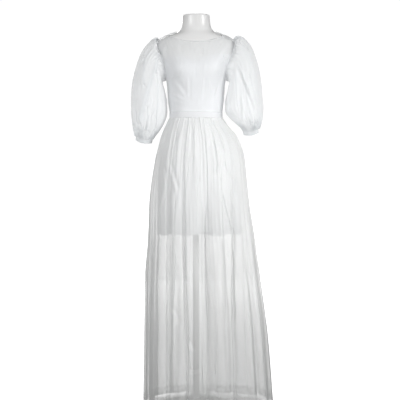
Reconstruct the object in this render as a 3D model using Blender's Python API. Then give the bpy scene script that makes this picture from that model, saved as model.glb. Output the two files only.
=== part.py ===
"""A white organza evening gown on a headless, limbless dress form and its stand.

Metres, +Z up. The front faces -Y. Left and right are the wearer's, so the left side is at +X.
The origin is on the floor, under the middle of the stand's base.
An angle round the body is 0 at the front, 90 degrees at the left side and 180 at the back.
"""

import math
from collections import namedtuple

import bmesh
import bpy
import numpy as np
from mathutils import Matrix, Vector

# Heights of the main lines
NECK_TOP = 1.556
NECK_POINT = 1.4885
SHOULDER_TIP = 1.460
UNDERARM = 1.300
BUST = 1.336
BAND_TOP = 1.168
BAND_BOTTOM = 1.146
FORM_BOTTOM = 0.800
LINING_HEM = 0.686
ZIP_FOOT = 1.012

# Cloth and seams
SEAM = 0.0003
ORGANZA_WALL = 0.0012
LINING_WALL = 0.0014
BAND_WALL = 0.0030
BAND_GAP = 0.0005
CUFF_WALL = 0.0020
BINDING_RADIUS = 0.0013
ZIP_HALF_GAP = 0.0018
ZIP_HALF_WIDTH = 0.0014
ZIP_STOP = 0.003
BOTH_SEWN = (SEAM / 2, SEAM / 2)
FIRST_ZIPPED = (ZIP_HALF_GAP, SEAM / 2)
LAST_ZIPPED = (SEAM / 2, ZIP_HALF_GAP)

# How far the bodice layers stand off the form, at the waist and above it
LINING_AT_WAIST = 0.0006
LINING_ABOVE = 0.0025
ORGANZA_AT_WAIST = 0.0024
ORGANZA_ABOVE = 0.0065
ORGANZA_AT_NECK = 0.0036
EASE_RISE = 0.055
YOKE_FOOT, YOKE_TOP = 1.401, 1.464

# Mesh steps
BODY_STEP = 10
SKIRT_COLUMNS = 104
SLEEVE_STEPS_A_ROW = 2
TURN_STEPS = 24

# Body sections: height, half width, y of the front, of the widest point and of the back
Section = namedtuple("Section", "z half front side back")
FORM_SECTIONS = (
    Section(FORM_BOTTOM, 0.1340, -0.082, 0.000, 0.094),
    Section(0.920, 0.1420, -0.099, 0.000, 0.117),
    Section(0.980, 0.1370, -0.099, 0.000, 0.113),
    Section(1.050, 0.1230, -0.094, 0.000, 0.099),
    Section(1.110, 0.1080, -0.086, 0.000, 0.084),
    Section(1.157, 0.1025, -0.081, 0.000, 0.076),
    Section(1.200, 0.1040, -0.085, 0.000, 0.080),
    Section(1.250, 0.1070, -0.094, 0.000, 0.086),
    Section(1.290, 0.1105, -0.103, 0.000, 0.091),
    Section(1.3345, 0.1240, -0.108, 0.001, 0.095),
    Section(1.3915, 0.1520, -0.098, 0.002, 0.095),
    Section(1.4255, 0.1600, -0.087, 0.003, 0.091),
    Section(1.4465, 0.1570, -0.079, 0.004, 0.087),
    Section(1.460, 0.1450, -0.074, 0.004, 0.083),
    Section(1.470, 0.1280, -0.070, 0.004, 0.078),
    Section(1.4785, 0.1060, -0.067, 0.003, 0.071),
    Section(1.486, 0.0810, -0.063, 0.001, 0.063),
    Section(1.496, 0.0690, -0.060, -0.002, 0.055),
    Section(1.5105, 0.0600, -0.059, -0.005, 0.049),
    Section(1.5315, 0.0560, -0.060, -0.007, 0.046),
    Section(NECK_TOP, 0.0545, -0.062, -0.008, 0.045),
)
CORNER_FULLNESS = 0.035
BUST_RISE = 0.013
BUST_ANGLE = math.radians(36)
BUST_SPREAD = math.radians(26)
BUST_HEIGHT = 0.050

# Bodice rows: heights at the centre front, at the side and at the centre back
BodiceRow = namedtuple("BodiceRow", "front side back")
SHARED_ROWS = tuple(BodiceRow(z, z, z) for z in (BAND_TOP + SEAM, 1.202, 1.238, 1.272))
BODICE_ROWS = SHARED_ROWS + (
    BodiceRow(1.300, UNDERARM, 1.300),
    BodiceRow(1.321, 1.3085, 1.321),
    BodiceRow(1.3425, 1.329, 1.3445),
    BodiceRow(1.362, 1.354, 1.3675),
    BodiceRow(1.379, 1.380, 1.3895),
    BodiceRow(1.3945, 1.406, 1.410),
    BodiceRow(1.407, 1.431, 1.4275),
    BodiceRow(1.4175, 1.4515, 1.441),
    BodiceRow(1.4265, SHOULDER_TIP, 1.4515),
    BodiceRow(1.433, 1.4715, 1.459),
    BodiceRow(1.438, 1.4800, 1.465),
    BodiceRow(1.441, NECK_POINT, 1.470),
)
ARMHOLE_ROWS = slice(4, 13)
ARMHOLE_FRONT = math.radians(33)
ARMHOLE_BACK = math.radians(27)
NECKLINE_FLAT, NECKLINE_ROUND = 0.08, 1.00

# Upper edge of the strapless lining: angle from the front, height
EdgePoint = namedtuple("EdgePoint", "angle z")
SWEETHEART = (
    EdgePoint(-90, 1.298),
    EdgePoint(-74, 1.318),
    EdgePoint(-62, 1.352),
    EdgePoint(-50, 1.377),
    EdgePoint(-36, 1.384),
    EdgePoint(-18, 1.382),
    EdgePoint(0, 1.368),
    EdgePoint(18, 1.386),
    EdgePoint(36, 1.394),
    EdgePoint(50, 1.396),
    EdgePoint(58, 1.389),
    EdgePoint(66, 1.352),
    EdgePoint(76, 1.316),
    EdgePoint(90, 1.298),
)
BACK_EDGE = (EdgePoint(90, 1.298), EdgePoint(120, 1.321), EdgePoint(180, 1.331))
LINING_EDGE_STEPS = 5

# Skirt sections: height, reach to the wearer's right and left, to the front and back,
# depth of the waist gathers, and the share of the folds' full depth
SkirtSection = namedtuple("SkirtSection", "z right left front back gather fold")
SKIRT_SECTIONS = (
    SkirtSection(0.018, 0.216, 0.312, 0.222, 0.238, 0.0000, 1.00),
    SkirtSection(0.330, 0.212, 0.287, 0.208, 0.221, 0.0003, 0.90),
    SkirtSection(0.520, 0.207, 0.259, 0.194, 0.206, 0.0006, 0.72),
    SkirtSection(0.670, 0.195, 0.236, 0.180, 0.191, 0.0011, 0.46),
    SkirtSection(0.810, 0.188, 0.213, 0.167, 0.176, 0.0018, 0.30),
    SkirtSection(0.920, 0.174, 0.202, 0.152, 0.161, 0.0028, 0.20),
    SkirtSection(0.996, 0.160, 0.193, 0.138, 0.145, 0.0036, 0.14),
    SkirtSection(ZIP_FOOT, 0.156, 0.189, 0.134, 0.141, 0.0038, 0.13),
    SkirtSection(1.075, 0.138, 0.162, 0.117, 0.121, 0.0038, 0.07),
    SkirtSection(1.120, 0.1185, 0.124, 0.099, 0.097, 0.0024, 0.00),
    SkirtSection(1.1457, 0.1078, 0.1078, 0.0868, 0.0826, 0.0008, 0.00),
)
GATHERS = 26

# Folds that fall in from the skirt's surface: angle at the waist and at the hem, half width,
# full depth, and how far the fold's bottom leans towards the left
Fold = namedtuple("Fold", "waist hem half_width depth lean")
SKIRT_FOLDS = (
    Fold(-84, -86, 6.0, 0.036, 0.004),
    Fold(-61, -58, 5.0, 0.046, 0.008),
    Fold(-34, -31, 6.0, 0.024, -0.004),
    Fold(-17, -8, 5.0, 0.044, 0.010),
    Fold(10, 13, 6.0, 0.056, 0.006),
    Fold(46, 32, 5.4, 0.044, -0.008),
    Fold(66, 51, 6.0, 0.038, 0.006),
    Fold(84, 74, 5.5, 0.046, -0.006),
    Fold(106, 97, 6.0, 0.050, 0.008),
    Fold(126, 122, 5.5, 0.042, -0.008),
    Fold(148, 146, 6.0, 0.052, 0.008),
    Fold(169, 167, 5.5, 0.040, -0.006),
    Fold(193, 194, 5.5, 0.046, 0.006),
    Fold(214, 217, 6.0, 0.050, -0.008),
    Fold(236, 239, 5.5, 0.044, 0.008),
    Fold(256, 257, 5.5, 0.048, -0.004),
)
FOLD_TURN_FROM, FOLD_TURN_TO = 0.30, 1.00

# Lining skirt sections: height, reach to the right, left, front and back
LiningSection = namedtuple("LiningSection", "z right left front back")
LINING_SECTIONS = (
    LiningSection(LINING_HEM, 0.156, 0.184, 0.141, 0.152),
    LiningSection(0.800, 0.154, 0.178, 0.134, 0.146),
    LiningSection(0.900, 0.152, 0.168, 0.124, 0.137),
    LiningSection(0.985, 0.145, 0.154, 0.113, 0.125),
    LiningSection(1.060, 0.130, 0.134, 0.102, 0.106),
    LiningSection(1.110, 0.1135, 0.1145, 0.091, 0.0895),
    LiningSection(1.1457, 0.1052, 0.1052, 0.0838, 0.0796),
)
LINING_WAVES = 9
LINING_WAVE_SHARE = 0.027
LINING_WAVES_FROM = 1.05

# Sleeve sections: x and z of the outer and of the inner edge, half depth, y of the middle
SleeveSection = namedtuple("SleeveSection", "outer_x outer_z inner_x inner_z half_depth y gather")
RIGHT_SLEEVE = (
    SleeveSection(0.162, 1.4635, 0.133, 1.291, 0.070, -0.006, 0.0034),
    SleeveSection(0.184, 1.4505, 0.131, 1.279, 0.078, -0.006, 0.0040),
    SleeveSection(0.215, 1.413, 0.124, 1.256, 0.085, -0.005, 0.0032),
    SleeveSection(0.239, 1.346, 0.1165, 1.222, 0.088, -0.003, 0.0014),
    SleeveSection(0.251, 1.288, 0.1145, 1.194, 0.088, -0.003, 0.0004),
    SleeveSection(0.256, 1.228, 0.115, 1.164, 0.086, -0.003, 0.0008),
    SleeveSection(0.256, 1.170, 0.124, 1.134, 0.080, -0.003, 0.0020),
    SleeveSection(0.251, 1.122, 0.141, 1.104, 0.070, -0.003, 0.0030),
    SleeveSection(0.244, 1.090, 0.162, 1.079, 0.054, -0.003, 0.0028),
    SleeveSection(0.238, 1.074, 0.174, 1.062, 0.040, -0.003, 0.0016),
)
LEFT_SLEEVE = (
    SleeveSection(0.168, 1.471, 0.133, 1.291, 0.070, -0.006, 0.0034),
    SleeveSection(0.193, 1.463, 0.131, 1.280, 0.079, -0.006, 0.0040),
    SleeveSection(0.225, 1.423, 0.125, 1.258, 0.086, -0.005, 0.0032),
    SleeveSection(0.247, 1.354, 0.118, 1.226, 0.089, -0.003, 0.0014),
    SleeveSection(0.256, 1.298, 0.1155, 1.200, 0.089, -0.003, 0.0004),
    SleeveSection(0.262, 1.240, 0.118, 1.172, 0.087, -0.003, 0.0008),
    SleeveSection(0.267, 1.190, 0.134, 1.150, 0.081, -0.003, 0.0020),
    SleeveSection(0.264, 1.150, 0.156, 1.130, 0.070, -0.003, 0.0030),
    SleeveSection(0.256, 1.122, 0.178, 1.112, 0.054, -0.003, 0.0028),
    SleeveSection(0.248, 1.104, 0.188, 1.096, 0.040, -0.003, 0.0016),
)
SLEEVE_GATHERS = 16
SLEEVE_FOLDS = 5
SLEEVE_FOLD_DEPTH = 0.005
SLEEVE_FOLD_PHASE = 0.8
CUFF_HEIGHT = 0.014
CUFF_TAPER = 0.0015

# Stand
BASE_RADIUS = 0.145
BASE_THICKNESS = 0.010
BASE_EDGE = 0.003
HUB_RADIUS = 0.022
HUB_HEIGHT = 0.045
POLE_RADIUS = 0.0125
POLE_GAP = 0.0004
FLANGE_RADIUS = 0.040
FLANGE_THICKNESS = 0.006

# Zip slider and pull
SLIDER_HEIGHT = 1.452
SLIDER_SIZE = Vector((0.0050, 0.0080, 0.0022))
BRIDGE_INNER, BRIDGE_OUTER = 0.0015, 0.0023
BRIDGE_WIDTH = 0.0012
BRIDGE_LEG = 0.0010
BRIDGE_STEPS = 8
PULL_WIDTH = 0.0044
PULL_LENGTH = 0.0190
PULL_THICKNESS = 0.0009
PULL_BAR = 0.0005
PULL_WINDOW_END = 0.0030
PULL_WINDOW_WIDTH = 0.0019

# Materials: colour, roughness, metallic, alpha
Finish = namedtuple("Finish", "colour roughness metallic alpha")
FINISHES = {
    "organza": Finish((0.92, 0.93, 0.94), 0.45, 0.0, 0.55),
    "lining": Finish((0.90, 0.91, 0.93), 0.40, 0.0, 1.0),
    "form": Finish((0.80, 0.80, 0.79), 0.30, 0.0, 1.0),
    "stand": Finish((0.82, 0.82, 0.82), 0.35, 0.0, 1.0),
    "zip": Finish((0.88, 0.88, 0.90), 0.40, 0.0, 1.0),
}


def clear_scene():
    for item in list(bpy.data.objects):
        bpy.data.objects.remove(item)


def material(piece, name):
    """A piece's own Principled material, in the named finish."""
    finish = FINISHES[name]
    made = bpy.data.materials.new(f"{piece}_{name}")
    made.use_nodes = True
    shader = made.node_tree.nodes["Principled BSDF"]
    shader.inputs["Base Color"].default_value = (*finish.colour, 1)
    shader.inputs["Roughness"].default_value = finish.roughness
    shader.inputs["Metallic"].default_value = finish.metallic
    shader.inputs["Alpha"].default_value = finish.alpha
    return made


def add_mesh(name, points, faces, finish, round_edges=math.radians(50)):
    """A mesh object at the origin, shaded smooth but for edges sharper than round_edges."""
    mesh = bpy.data.meshes.new(name)
    mesh.from_pydata([tuple(map(float, p)) for p in points], [], faces)
    mesh.validate()
    mesh.shade_smooth()
    mesh.set_sharp_from_angle(angle=round_edges)
    made = bpy.data.objects.new(name, mesh)
    bpy.context.scene.collection.objects.link(made)
    made.data.materials.append(material(name, finish))
    return made


def smoothstep(low, high, value):
    share = np.clip((np.asarray(value, float) - low) / (high - low), 0, 1)
    return share * share * (3 - 2 * share)


def smooth(table, column, at):
    """A table's column at the given places, on a monotone cubic through its rows."""
    x = np.array([row[0] for row in table], float)
    y = np.array([getattr(row, column) for row in table], float)
    step, slope = np.diff(x), np.diff(y) / np.diff(x)
    same_way = slope[:-1] * slope[1:] > 0
    weight = np.where(same_way, slope[:-1] * slope[1:], 0)
    total = np.where(same_way, slope[:-1] + slope[1:], 1)
    tangent = np.concatenate([[slope[0]], 2 * weight / total, [slope[-1]]])
    at = np.clip(np.asarray(at, float), x[0], x[-1])
    i = np.clip(np.searchsorted(x, at) - 1, 0, len(step) - 1)
    t = (at - x[i]) / step[i]
    rise = (3 - 2 * t) * t * t
    start, end = t * (1 - t) ** 2, t * t * (t - 1)
    return y[i] + rise * (y[i + 1] - y[i]) + step[i] * (start * tangent[i] + end * tangent[i + 1])


def body_point(angle, z):
    """The form's surface at an angle and a height: an egg-shaped ring with full corners and a bust."""
    angle, z = np.broadcast_arrays(np.asarray(angle, float), np.asarray(z, float))
    half = smooth(FORM_SECTIONS, "half", z)
    front = smooth(FORM_SECTIONS, "front", z)
    side = smooth(FORM_SECTIONS, "side", z)
    back = smooth(FORM_SECTIONS, "back", z)
    full = 1 + CORNER_FULLNESS * np.sin(2 * angle) ** 2
    cosine = np.cos(angle)
    reach = np.where(cosine > 0, front - side, side - back)
    off_apex = (np.abs(np.arctan2(np.sin(angle), cosine)) - BUST_ANGLE) / BUST_SPREAD
    bust = BUST_RISE * np.exp(-(off_apex**2)) * np.exp(-(((z - BUST) / BUST_HEIGHT) ** 2))
    x = half * np.sin(angle) * full
    y = side + reach * cosine * full - bust * np.maximum(cosine, 0)
    return np.stack([x, y, z], -1)


def body_normal(angle, z):
    turn, rise = 0.002, 0.0008
    round_it = body_point(angle + turn, z) - body_point(angle - turn, z)
    up = body_point(angle, z + rise) - body_point(angle, z - rise)
    normal = np.cross(round_it, up)
    return normal / np.linalg.norm(normal, axis=-1, keepdims=True)


def body_out(angle, z, distance):
    """The form's surface moved out along its normal."""
    distance = np.broadcast_to(distance, np.broadcast_shapes(np.shape(angle), np.shape(z)))
    return body_point(angle, z) + body_normal(angle, z) * distance[..., None]


def lining_off(z):
    """The lining's distance from the form, which grows above the waist seam."""
    rise = (LINING_ABOVE - LINING_AT_WAIST) * smoothstep(BAND_TOP, BAND_TOP + EASE_RISE, z)
    return LINING_AT_WAIST + rise


def organza_off(z):
    """The organza's distance from the form: it clears the lining, then closes in over the yoke."""
    rise = (ORGANZA_ABOVE - ORGANZA_AT_WAIST) * smoothstep(BAND_TOP, BAND_TOP + EASE_RISE, z)
    closing = (ORGANZA_ABOVE - ORGANZA_AT_NECK) * smoothstep(YOKE_FOOT, YOKE_TOP, z)
    return ORGANZA_AT_WAIST + rise - closing


def grid_faces(rows, columns, closed, offset=0, flip=False):
    """Quads of a grid of rows times columns points; closed joins its last column to its first."""
    faces = []
    for i in range(rows - 1):
        for j in range(columns if closed else columns - 1):
            k = (j + 1) % columns
            a, b = offset + i * columns + j, offset + i * columns + k
            c, d = offset + (i + 1) * columns + k, offset + (i + 1) * columns + j
            faces.append((a, d, c, b) if flip else (a, b, c, d))
    return faces


def wall(name, outer, inner, finish, closed=False):
    """A closed wall between two grids of points, its rows rising and its columns turning to the left."""
    rows, columns = outer.shape[:2]
    points = np.concatenate([outer.reshape(-1, 3), inner.reshape(-1, 3)])
    skip = rows * columns
    faces = grid_faces(rows, columns, closed)
    faces += grid_faces(rows, columns, closed, offset=skip, flip=True)
    for j in range(columns if closed else columns - 1):
        k = (j + 1) % columns
        low, high = (j, k), ((rows - 1) * columns + j, (rows - 1) * columns + k)
        faces.append((low[0], skip + low[0], skip + low[1], low[1]))
        faces.append((high[0], high[1], skip + high[1], skip + high[0]))
    if not closed:
        for i in range(rows - 1):
            near, over = i * columns, (i + 1) * columns
            faces.append((near, over, skip + over, skip + near))
            last, last_over = near + columns - 1, over + columns - 1
            faces.append((last, skip + last, skip + last_over, last_over))
    return add_mesh(name, points, faces, finish)


def moved_in(outer, distance, closed):
    """A grid of points moved in along its own normals."""
    if closed:
        round_it = np.roll(outer, -1, 1) - np.roll(outer, 1, 1)
    else:
        round_it = np.gradient(outer, axis=1)
    normal = np.cross(round_it, np.gradient(outer, axis=0))
    normal /= np.linalg.norm(normal, axis=-1, keepdims=True)
    return outer - normal * distance


def armhole_edge(z, reach, side):
    """The angle at which a bodice panel ends at a height; reach is how far the armhole cuts in."""
    middle, half = (SHOULDER_TIP + UNDERARM) / 2, (SHOULDER_TIP - UNDERARM) / 2
    cut = np.sqrt(np.clip(1 - ((z - middle) / half) ** 2, 0, 1))
    return side - reach * cut


def bodice_grid(centre, reach, step_range, centre_column):
    """Angles and heights of a panel: its columns fan out from the centre line to the armhole."""
    share = np.array(step_range, float) / (90 / BODY_STEP)
    centre_z = np.array([getattr(row, centre_column) for row in BODICE_ROWS])[:, None]
    side_z = np.array([row.side for row in BODICE_ROWS])[:, None]
    z = centre_z + (side_z - centre_z) * smoothstep(NECKLINE_FLAT, NECKLINE_ROUND, np.abs(share))
    angle = centre + share * armhole_edge(z, reach, math.pi / 2)
    return angle, z


def parted(grid, first=SEAM / 2, last=SEAM / 2):
    """A panel's grid whose first and last columns are drawn back from the seams by those distances."""
    grid = grid.copy()
    for column, inside, distance in ((0, 1, first), (-1, -2, last)):
        back = grid[:, inside] - grid[:, column]
        back /= np.linalg.norm(back, axis=1, keepdims=True)
        grid[:, column] += back * np.reshape(distance, (-1, 1))
    return grid


def bodice_panel(name, centre, reach, steps, centre_column, seams):
    angle, z = bodice_grid(centre, reach, steps, centre_column)
    inner = parted(body_out(angle, z, organza_off(z)), *seams)
    outer = parted(body_out(angle, z, organza_off(z) + ORGANZA_WALL), *seams)
    wall(name, outer, inner, "organza")
    return outer, inner


def organza_bodice():
    """The sheer front and the two sheer backs, up to the neckline. Returns their grids."""
    half = round(90 / BODY_STEP)
    front_steps, left_steps, right_steps = range(-half, half + 1), range(-half, 1), range(half + 1)
    return {
        "front": bodice_panel("bodice_front", 0, ARMHOLE_FRONT, front_steps, "front", BOTH_SEWN),
        "back_left": bodice_panel(
            "bodice_back_left", math.pi, ARMHOLE_BACK, left_steps, "back", LAST_ZIPPED
        ),
        "back_right": bodice_panel(
            "bodice_back_right", math.pi, ARMHOLE_BACK, right_steps, "back", FIRST_ZIPPED
        ),
    }


def lining_panel(name, angles, edge, seams):
    """One opaque panel of the strapless lining, up to its shaped upper edge."""
    angle = np.radians(np.array(angles, float))
    top = smooth(edge, "z", angles)
    shared = np.array([row.side for row in SHARED_ROWS])
    steps = np.arange(1, LINING_EDGE_STEPS + 1) / LINING_EDGE_STEPS
    rising = shared[-1] + steps[:, None] * (top - shared[-1])
    z = np.concatenate([np.repeat(shared[:, None], len(angle), 1), rising])
    angle = np.broadcast_to(angle, z.shape)
    inner = parted(body_out(angle, z, lining_off(z)), *seams)
    outer = parted(body_out(angle, z, lining_off(z) + LINING_WALL), *seams)
    wall(name, outer, inner, "lining")


def lining_bodice():
    mirrored = tuple(EdgePoint(360 - p.angle, p.z) for p in reversed(BACK_EDGE))
    lining_panel("lining_bodice_front", range(-90, 91, BODY_STEP), SWEETHEART, BOTH_SEWN)
    lining_panel("lining_bodice_back_left", range(90, 181, BODY_STEP), BACK_EDGE, LAST_ZIPPED)
    lining_panel("lining_bodice_back_right", range(180, 271, BODY_STEP), mirrored, FIRST_ZIPPED)


def waistband():
    """The narrow band between bodice and skirt, open at the centre back for the zip."""
    heights = np.array([BAND_BOTTOM, BAND_TOP])
    angles = np.radians(np.arange(-180, 181, BODY_STEP, dtype=float))
    angle, z = np.meshgrid(angles, heights)
    grids = []
    for distance in (BAND_GAP + BAND_WALL, BAND_GAP):
        grid = body_out(angle, z, distance)
        grid[:, 0, 0], grid[:, -1, 0] = -ZIP_HALF_GAP, ZIP_HALF_GAP
        grids.append(grid)
    wall("waistband", *grids, "lining")


def skirt_ring(angle, z):
    """The skirt's outline without its folds, and the direction out of it."""
    right, left = smooth(SKIRT_SECTIONS, "right", z), smooth(SKIRT_SECTIONS, "left", z)
    front, back = smooth(SKIRT_SECTIONS, "front", z), smooth(SKIRT_SECTIONS, "back", z)
    across, along = np.sin(angle), np.cos(angle)
    wide, deep = np.where(across > 0, left, right), np.where(along > 0, front, back)
    full = 1 + CORNER_FULLNESS * np.sin(2 * angle) ** 2
    place = np.stack([wide * across * full, -deep * along * full, z], -1)
    out = np.stack([deep * across, -wide * along, np.zeros_like(z)], -1)
    return place, out / np.linalg.norm(out, axis=-1, keepdims=True)


def angles_from_right(columns):
    """Angles all round in even steps, from the wearer's right over the front."""
    return 2 * math.pi * np.arange(columns) / columns - math.pi / 2


def skirt_grid(columns=SKIRT_COLUMNS):
    """Points all round the organza skirt: waist gathers that melt into deep hanging folds."""
    heights = np.array([section.z for section in SKIRT_SECTIONS])
    angle, z = np.meshgrid(angles_from_right(columns), heights)
    place, out = skirt_ring(angle, z)
    sideways = np.stack([-out[..., 1], out[..., 0], np.zeros_like(z)], -1)
    gather = smooth(SKIRT_SECTIONS, "gather", z) * np.cos(GATHERS * angle)
    share = smooth(SKIRT_SECTIONS, "fold", z)
    turned = 1 - smoothstep(FOLD_TURN_FROM, FOLD_TURN_TO, z)
    inward, lean = np.zeros_like(z), np.zeros_like(z)
    for fold in SKIRT_FOLDS:
        middle = np.radians(fold.waist + (fold.hem - fold.waist) * turned)
        off = np.arctan2(np.sin(angle - middle), np.cos(angle - middle))
        bell = np.exp(-((off / math.radians(fold.half_width)) ** 2))
        inward += fold.depth * bell
        lean += fold.lean * bell
    return place + out * (gather - share * inward)[..., None] + sideways * (share * lean)[..., None]


def round_panels(names, grid, thickness, finish, zipped):
    """Cuts a grid that starts at the right side into a front, a left back and a right back wall."""
    inner = moved_in(grid, thickness, closed=True)
    inner[..., 2] = grid[..., 2]
    columns = grid.shape[1]
    half, three_quarters = columns // 2, columns * 3 // 4
    spans = (range(half + 1), range(half, three_quarters + 1), range(three_quarters, columns + 1))
    seams = (BOTH_SEWN, (SEAM / 2, zipped), (zipped, SEAM / 2))
    for name, span, seam in zip(names, spans, seams):
        pick = [column % columns for column in span]
        wall(name, parted(grid[:, pick], *seam), parted(inner[:, pick], *seam), finish)


def organza_skirt():
    grid = skirt_grid()
    zipped = np.where(grid[:, 0, 2] > ZIP_FOOT - ZIP_STOP, ZIP_HALF_GAP, SEAM / 2)
    names = ("skirt_front", "skirt_back_left", "skirt_back_right")
    round_panels(names, grid, ORGANZA_WALL, "organza", zipped)


def lining_skirt():
    heights = np.array([section.z for section in LINING_SECTIONS])
    angle, z = np.meshgrid(angles_from_right(360 // BODY_STEP), heights)
    right, left = smooth(LINING_SECTIONS, "right", z), smooth(LINING_SECTIONS, "left", z)
    front, back = smooth(LINING_SECTIONS, "front", z), smooth(LINING_SECTIONS, "back", z)
    across, along = np.sin(angle), np.cos(angle)
    full = 1 + CORNER_FULLNESS * np.sin(2 * angle) ** 2
    down = 1 - smoothstep(LINING_HEM, LINING_WAVES_FROM, z)
    full = full - LINING_WAVE_SHARE * down * (1 - np.cos(LINING_WAVES * angle)) / 2
    x = np.where(across > 0, left, right) * across * full
    y = -np.where(along > 0, front, back) * along * full
    names = ("lining_skirt_front", "lining_skirt_back_left", "lining_skirt_back_right")
    round_panels(names, np.stack([x, y, z], -1), LINING_WALL, "lining", SEAM / 2)


def armhole_loop(front_edge, back_edge):
    """Points round an armhole, from the shoulder tip down the front and up the back."""
    corners = np.concatenate([front_edge[::-1], back_edge[1:-1]])
    following = np.roll(corners, -1, 0)
    shares = np.arange(SLEEVE_STEPS_A_ROW) / SLEEVE_STEPS_A_ROW
    between = corners[:, None] + (following - corners)[:, None] * shares[None, :, None]
    return between.reshape(-1, 3)


def sleeve_grid(sections, side, loop):
    """Rings of a puffed sleeve from the armhole loop down to the cuff seam."""
    columns = len(loop)
    turn = 2 * math.pi * np.arange(columns) / columns
    rings = [loop]
    count = len(sections)
    for number, section in enumerate(sections):
        outer = np.array([side * section.outer_x, section.y, section.outer_z])
        inner = np.array([side * section.inner_x, section.y, section.inner_z])
        across = (outer - inner) / 2
        forward = np.array([0, -section.half_depth, 0])
        flat = np.cos(turn)[:, None] * across + np.sin(turn)[:, None] * forward
        outward = flat / np.linalg.norm(flat, axis=1, keepdims=True)
        long_fold = SLEEVE_FOLD_DEPTH * math.sin(math.pi * (number + 1) / (count + 1)) ** 2
        swell = section.gather * np.cos(SLEEVE_GATHERS * turn)
        swell = swell + long_fold * np.cos(SLEEVE_FOLDS * turn + SLEEVE_FOLD_PHASE)
        rings.append((outer + inner) / 2 + flat + outward * swell[:, None])
    return np.array(rings)


def facing(grid, side):
    """Rows turned so that they rise and columns turn to the left, as wall() needs."""
    return grid[::-1] if side < 0 else grid[::-1, ::-1]


def sleeve(name, sections, side, front_edge, back_edge):
    """A puffed organza sleeve and, SEAM below it, its narrow cuff band."""
    loop = armhole_loop(front_edge, back_edge)
    grid = sleeve_grid(sections, side, loop)
    outer = facing(grid, side)
    inner = moved_in(outer, ORGANZA_WALL, closed=True)
    wall(f"sleeve_{name}", outer, inner, "organza", closed=True)
    cuff(name, sections[-1], side, len(loop))


def cuff(name, section, side, columns):
    """A plain band along the sleeve's last ring, hanging square to that ring."""
    turn = 2 * math.pi * np.arange(columns) / columns
    outer_edge = np.array([side * section.outer_x, section.y, section.outer_z])
    inner_edge = np.array([side * section.inner_x, section.y, section.inner_z])
    middle, across = (outer_edge + inner_edge) / 2, (outer_edge - inner_edge) / 2
    down = np.cross(across, np.array([0, 1.0, 0])) * side
    down *= -np.sign(down[2]) / np.linalg.norm(down)
    grids = []
    for inward in (0, CUFF_WALL):
        rings = []
        for share in (0, 1):
            size = 1 - (inward + CUFF_TAPER * share) / section.half_depth
            flat = np.cos(turn)[:, None] * across - np.sin(turn)[:, None] * [0, section.half_depth, 0]
            drop = SEAM + CUFF_HEIGHT * share
            rings.append(middle + flat * size + down * drop)
        grids.append(facing(np.array(rings), side))
    wall(f"cuff_{name}", *grids, "organza", closed=True)


def sleeves(panels):
    """Both sleeves, their first rings SEAM above the armhole edges of the bodice panels."""
    for name, side, front_column, back_name, back_column, sections in (
        ("left", 1, -1, "back_left", 0, LEFT_SLEEVE),
        ("right", -1, 0, "back_right", -1, RIGHT_SLEEVE),
    ):
        edges = []
        for panel, column in (("front", front_column), (back_name, back_column)):
            outer, inner = panels[panel]
            out = outer[ARMHOLE_ROWS, column] - inner[ARMHOLE_ROWS, column]
            out /= np.linalg.norm(out, axis=1, keepdims=True)
            edges.append(outer[ARMHOLE_ROWS, column] + out * SEAM)
        sleeve(name, sections, side, *edges)


def neck_binding(panels):
    """A narrow rolled binding round the neckline, open at the zip."""
    route = []
    for name in ("back_right", "front", "back_left"):
        outer, inner = panels[name]
        edge = (outer[-1] + inner[-1]) / 2
        up = np.cross(outer[-1] - inner[-1], np.gradient(edge, axis=0))
        up /= np.linalg.norm(up, axis=1, keepdims=True)
        route.append(edge + up * (SEAM + BINDING_RADIUS))
    # Neighbouring panels share their seam's point, so one of each pair is left out.
    route = np.concatenate([route[0], route[1][1:], route[2][1:]])
    curve = bpy.data.curves.new("neck_binding", "CURVE")
    curve.dimensions = "3D"
    curve.bevel_depth = BINDING_RADIUS
    curve.bevel_resolution = 1
    curve.use_fill_caps = True
    spline = curve.splines.new("POLY")
    spline.points.add(len(route) - 1)
    for point, place in zip(spline.points, route):
        point.co = (*map(float, place), 1)
    made = bpy.data.objects.new("neck_binding", curve)
    bpy.context.scene.collection.objects.link(made)
    curve.materials.append(material("neck_binding", "organza"))


def zip_chain():
    """The closed zip: a strip in the gap between the back panels, from neck to hip."""
    above = np.array([row.back for row in BODICE_ROWS])
    band = np.array([BAND_BOTTOM, BAND_TOP - SEAM])
    below = np.array([s.z for s in SKIRT_SECTIONS if ZIP_FOOT < s.z < BAND_BOTTOM])
    back = np.array([math.pi])
    offset = organza_off(above) + ORGANZA_WALL
    outer_line = np.concatenate(
        [
            skirt_back_line(np.concatenate([[ZIP_FOOT], below])),
            body_out(back, band, BAND_GAP + BAND_WALL),
            body_out(back, above, offset),
        ]
    )
    inner_line = outer_line - [0, ORGANZA_WALL, 0]
    outer, inner = (
        np.stack([line + [x, 0, 0] for x in (ZIP_HALF_WIDTH, -ZIP_HALF_WIDTH)], 1)
        for line in (outer_line, inner_line)
    )
    wall("zip_chain", outer, inner, "zip")


def skirt_back_line(heights):
    """The skirt's centre-back line at the given heights, between its own rows."""
    line = skirt_grid(4)[:, 3]
    return np.stack([0 * heights, np.interp(heights, line[:, 2], line[:, 1]), heights], 1)


def zip_frame():
    """A matrix at the slider's outer face: X across, Y up along the back, Z away from it."""
    at = np.array([math.pi])
    face = organza_off(SLIDER_HEIGHT - SLIDER_SIZE.y / 2) + ORGANZA_WALL + SEAM + SLIDER_SIZE.z
    place = Vector(body_out(at, np.array([SLIDER_HEIGHT]), face)[0])
    out = Vector(body_normal(at, np.array([SLIDER_HEIGHT]))[0])
    up = out.cross(Vector((-1, 0, 0))).normalized()
    across = up.cross(out).normalized()
    turned = Matrix((across, up, out)).transposed().to_4x4()
    return Matrix.Translation(place) @ turned


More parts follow.
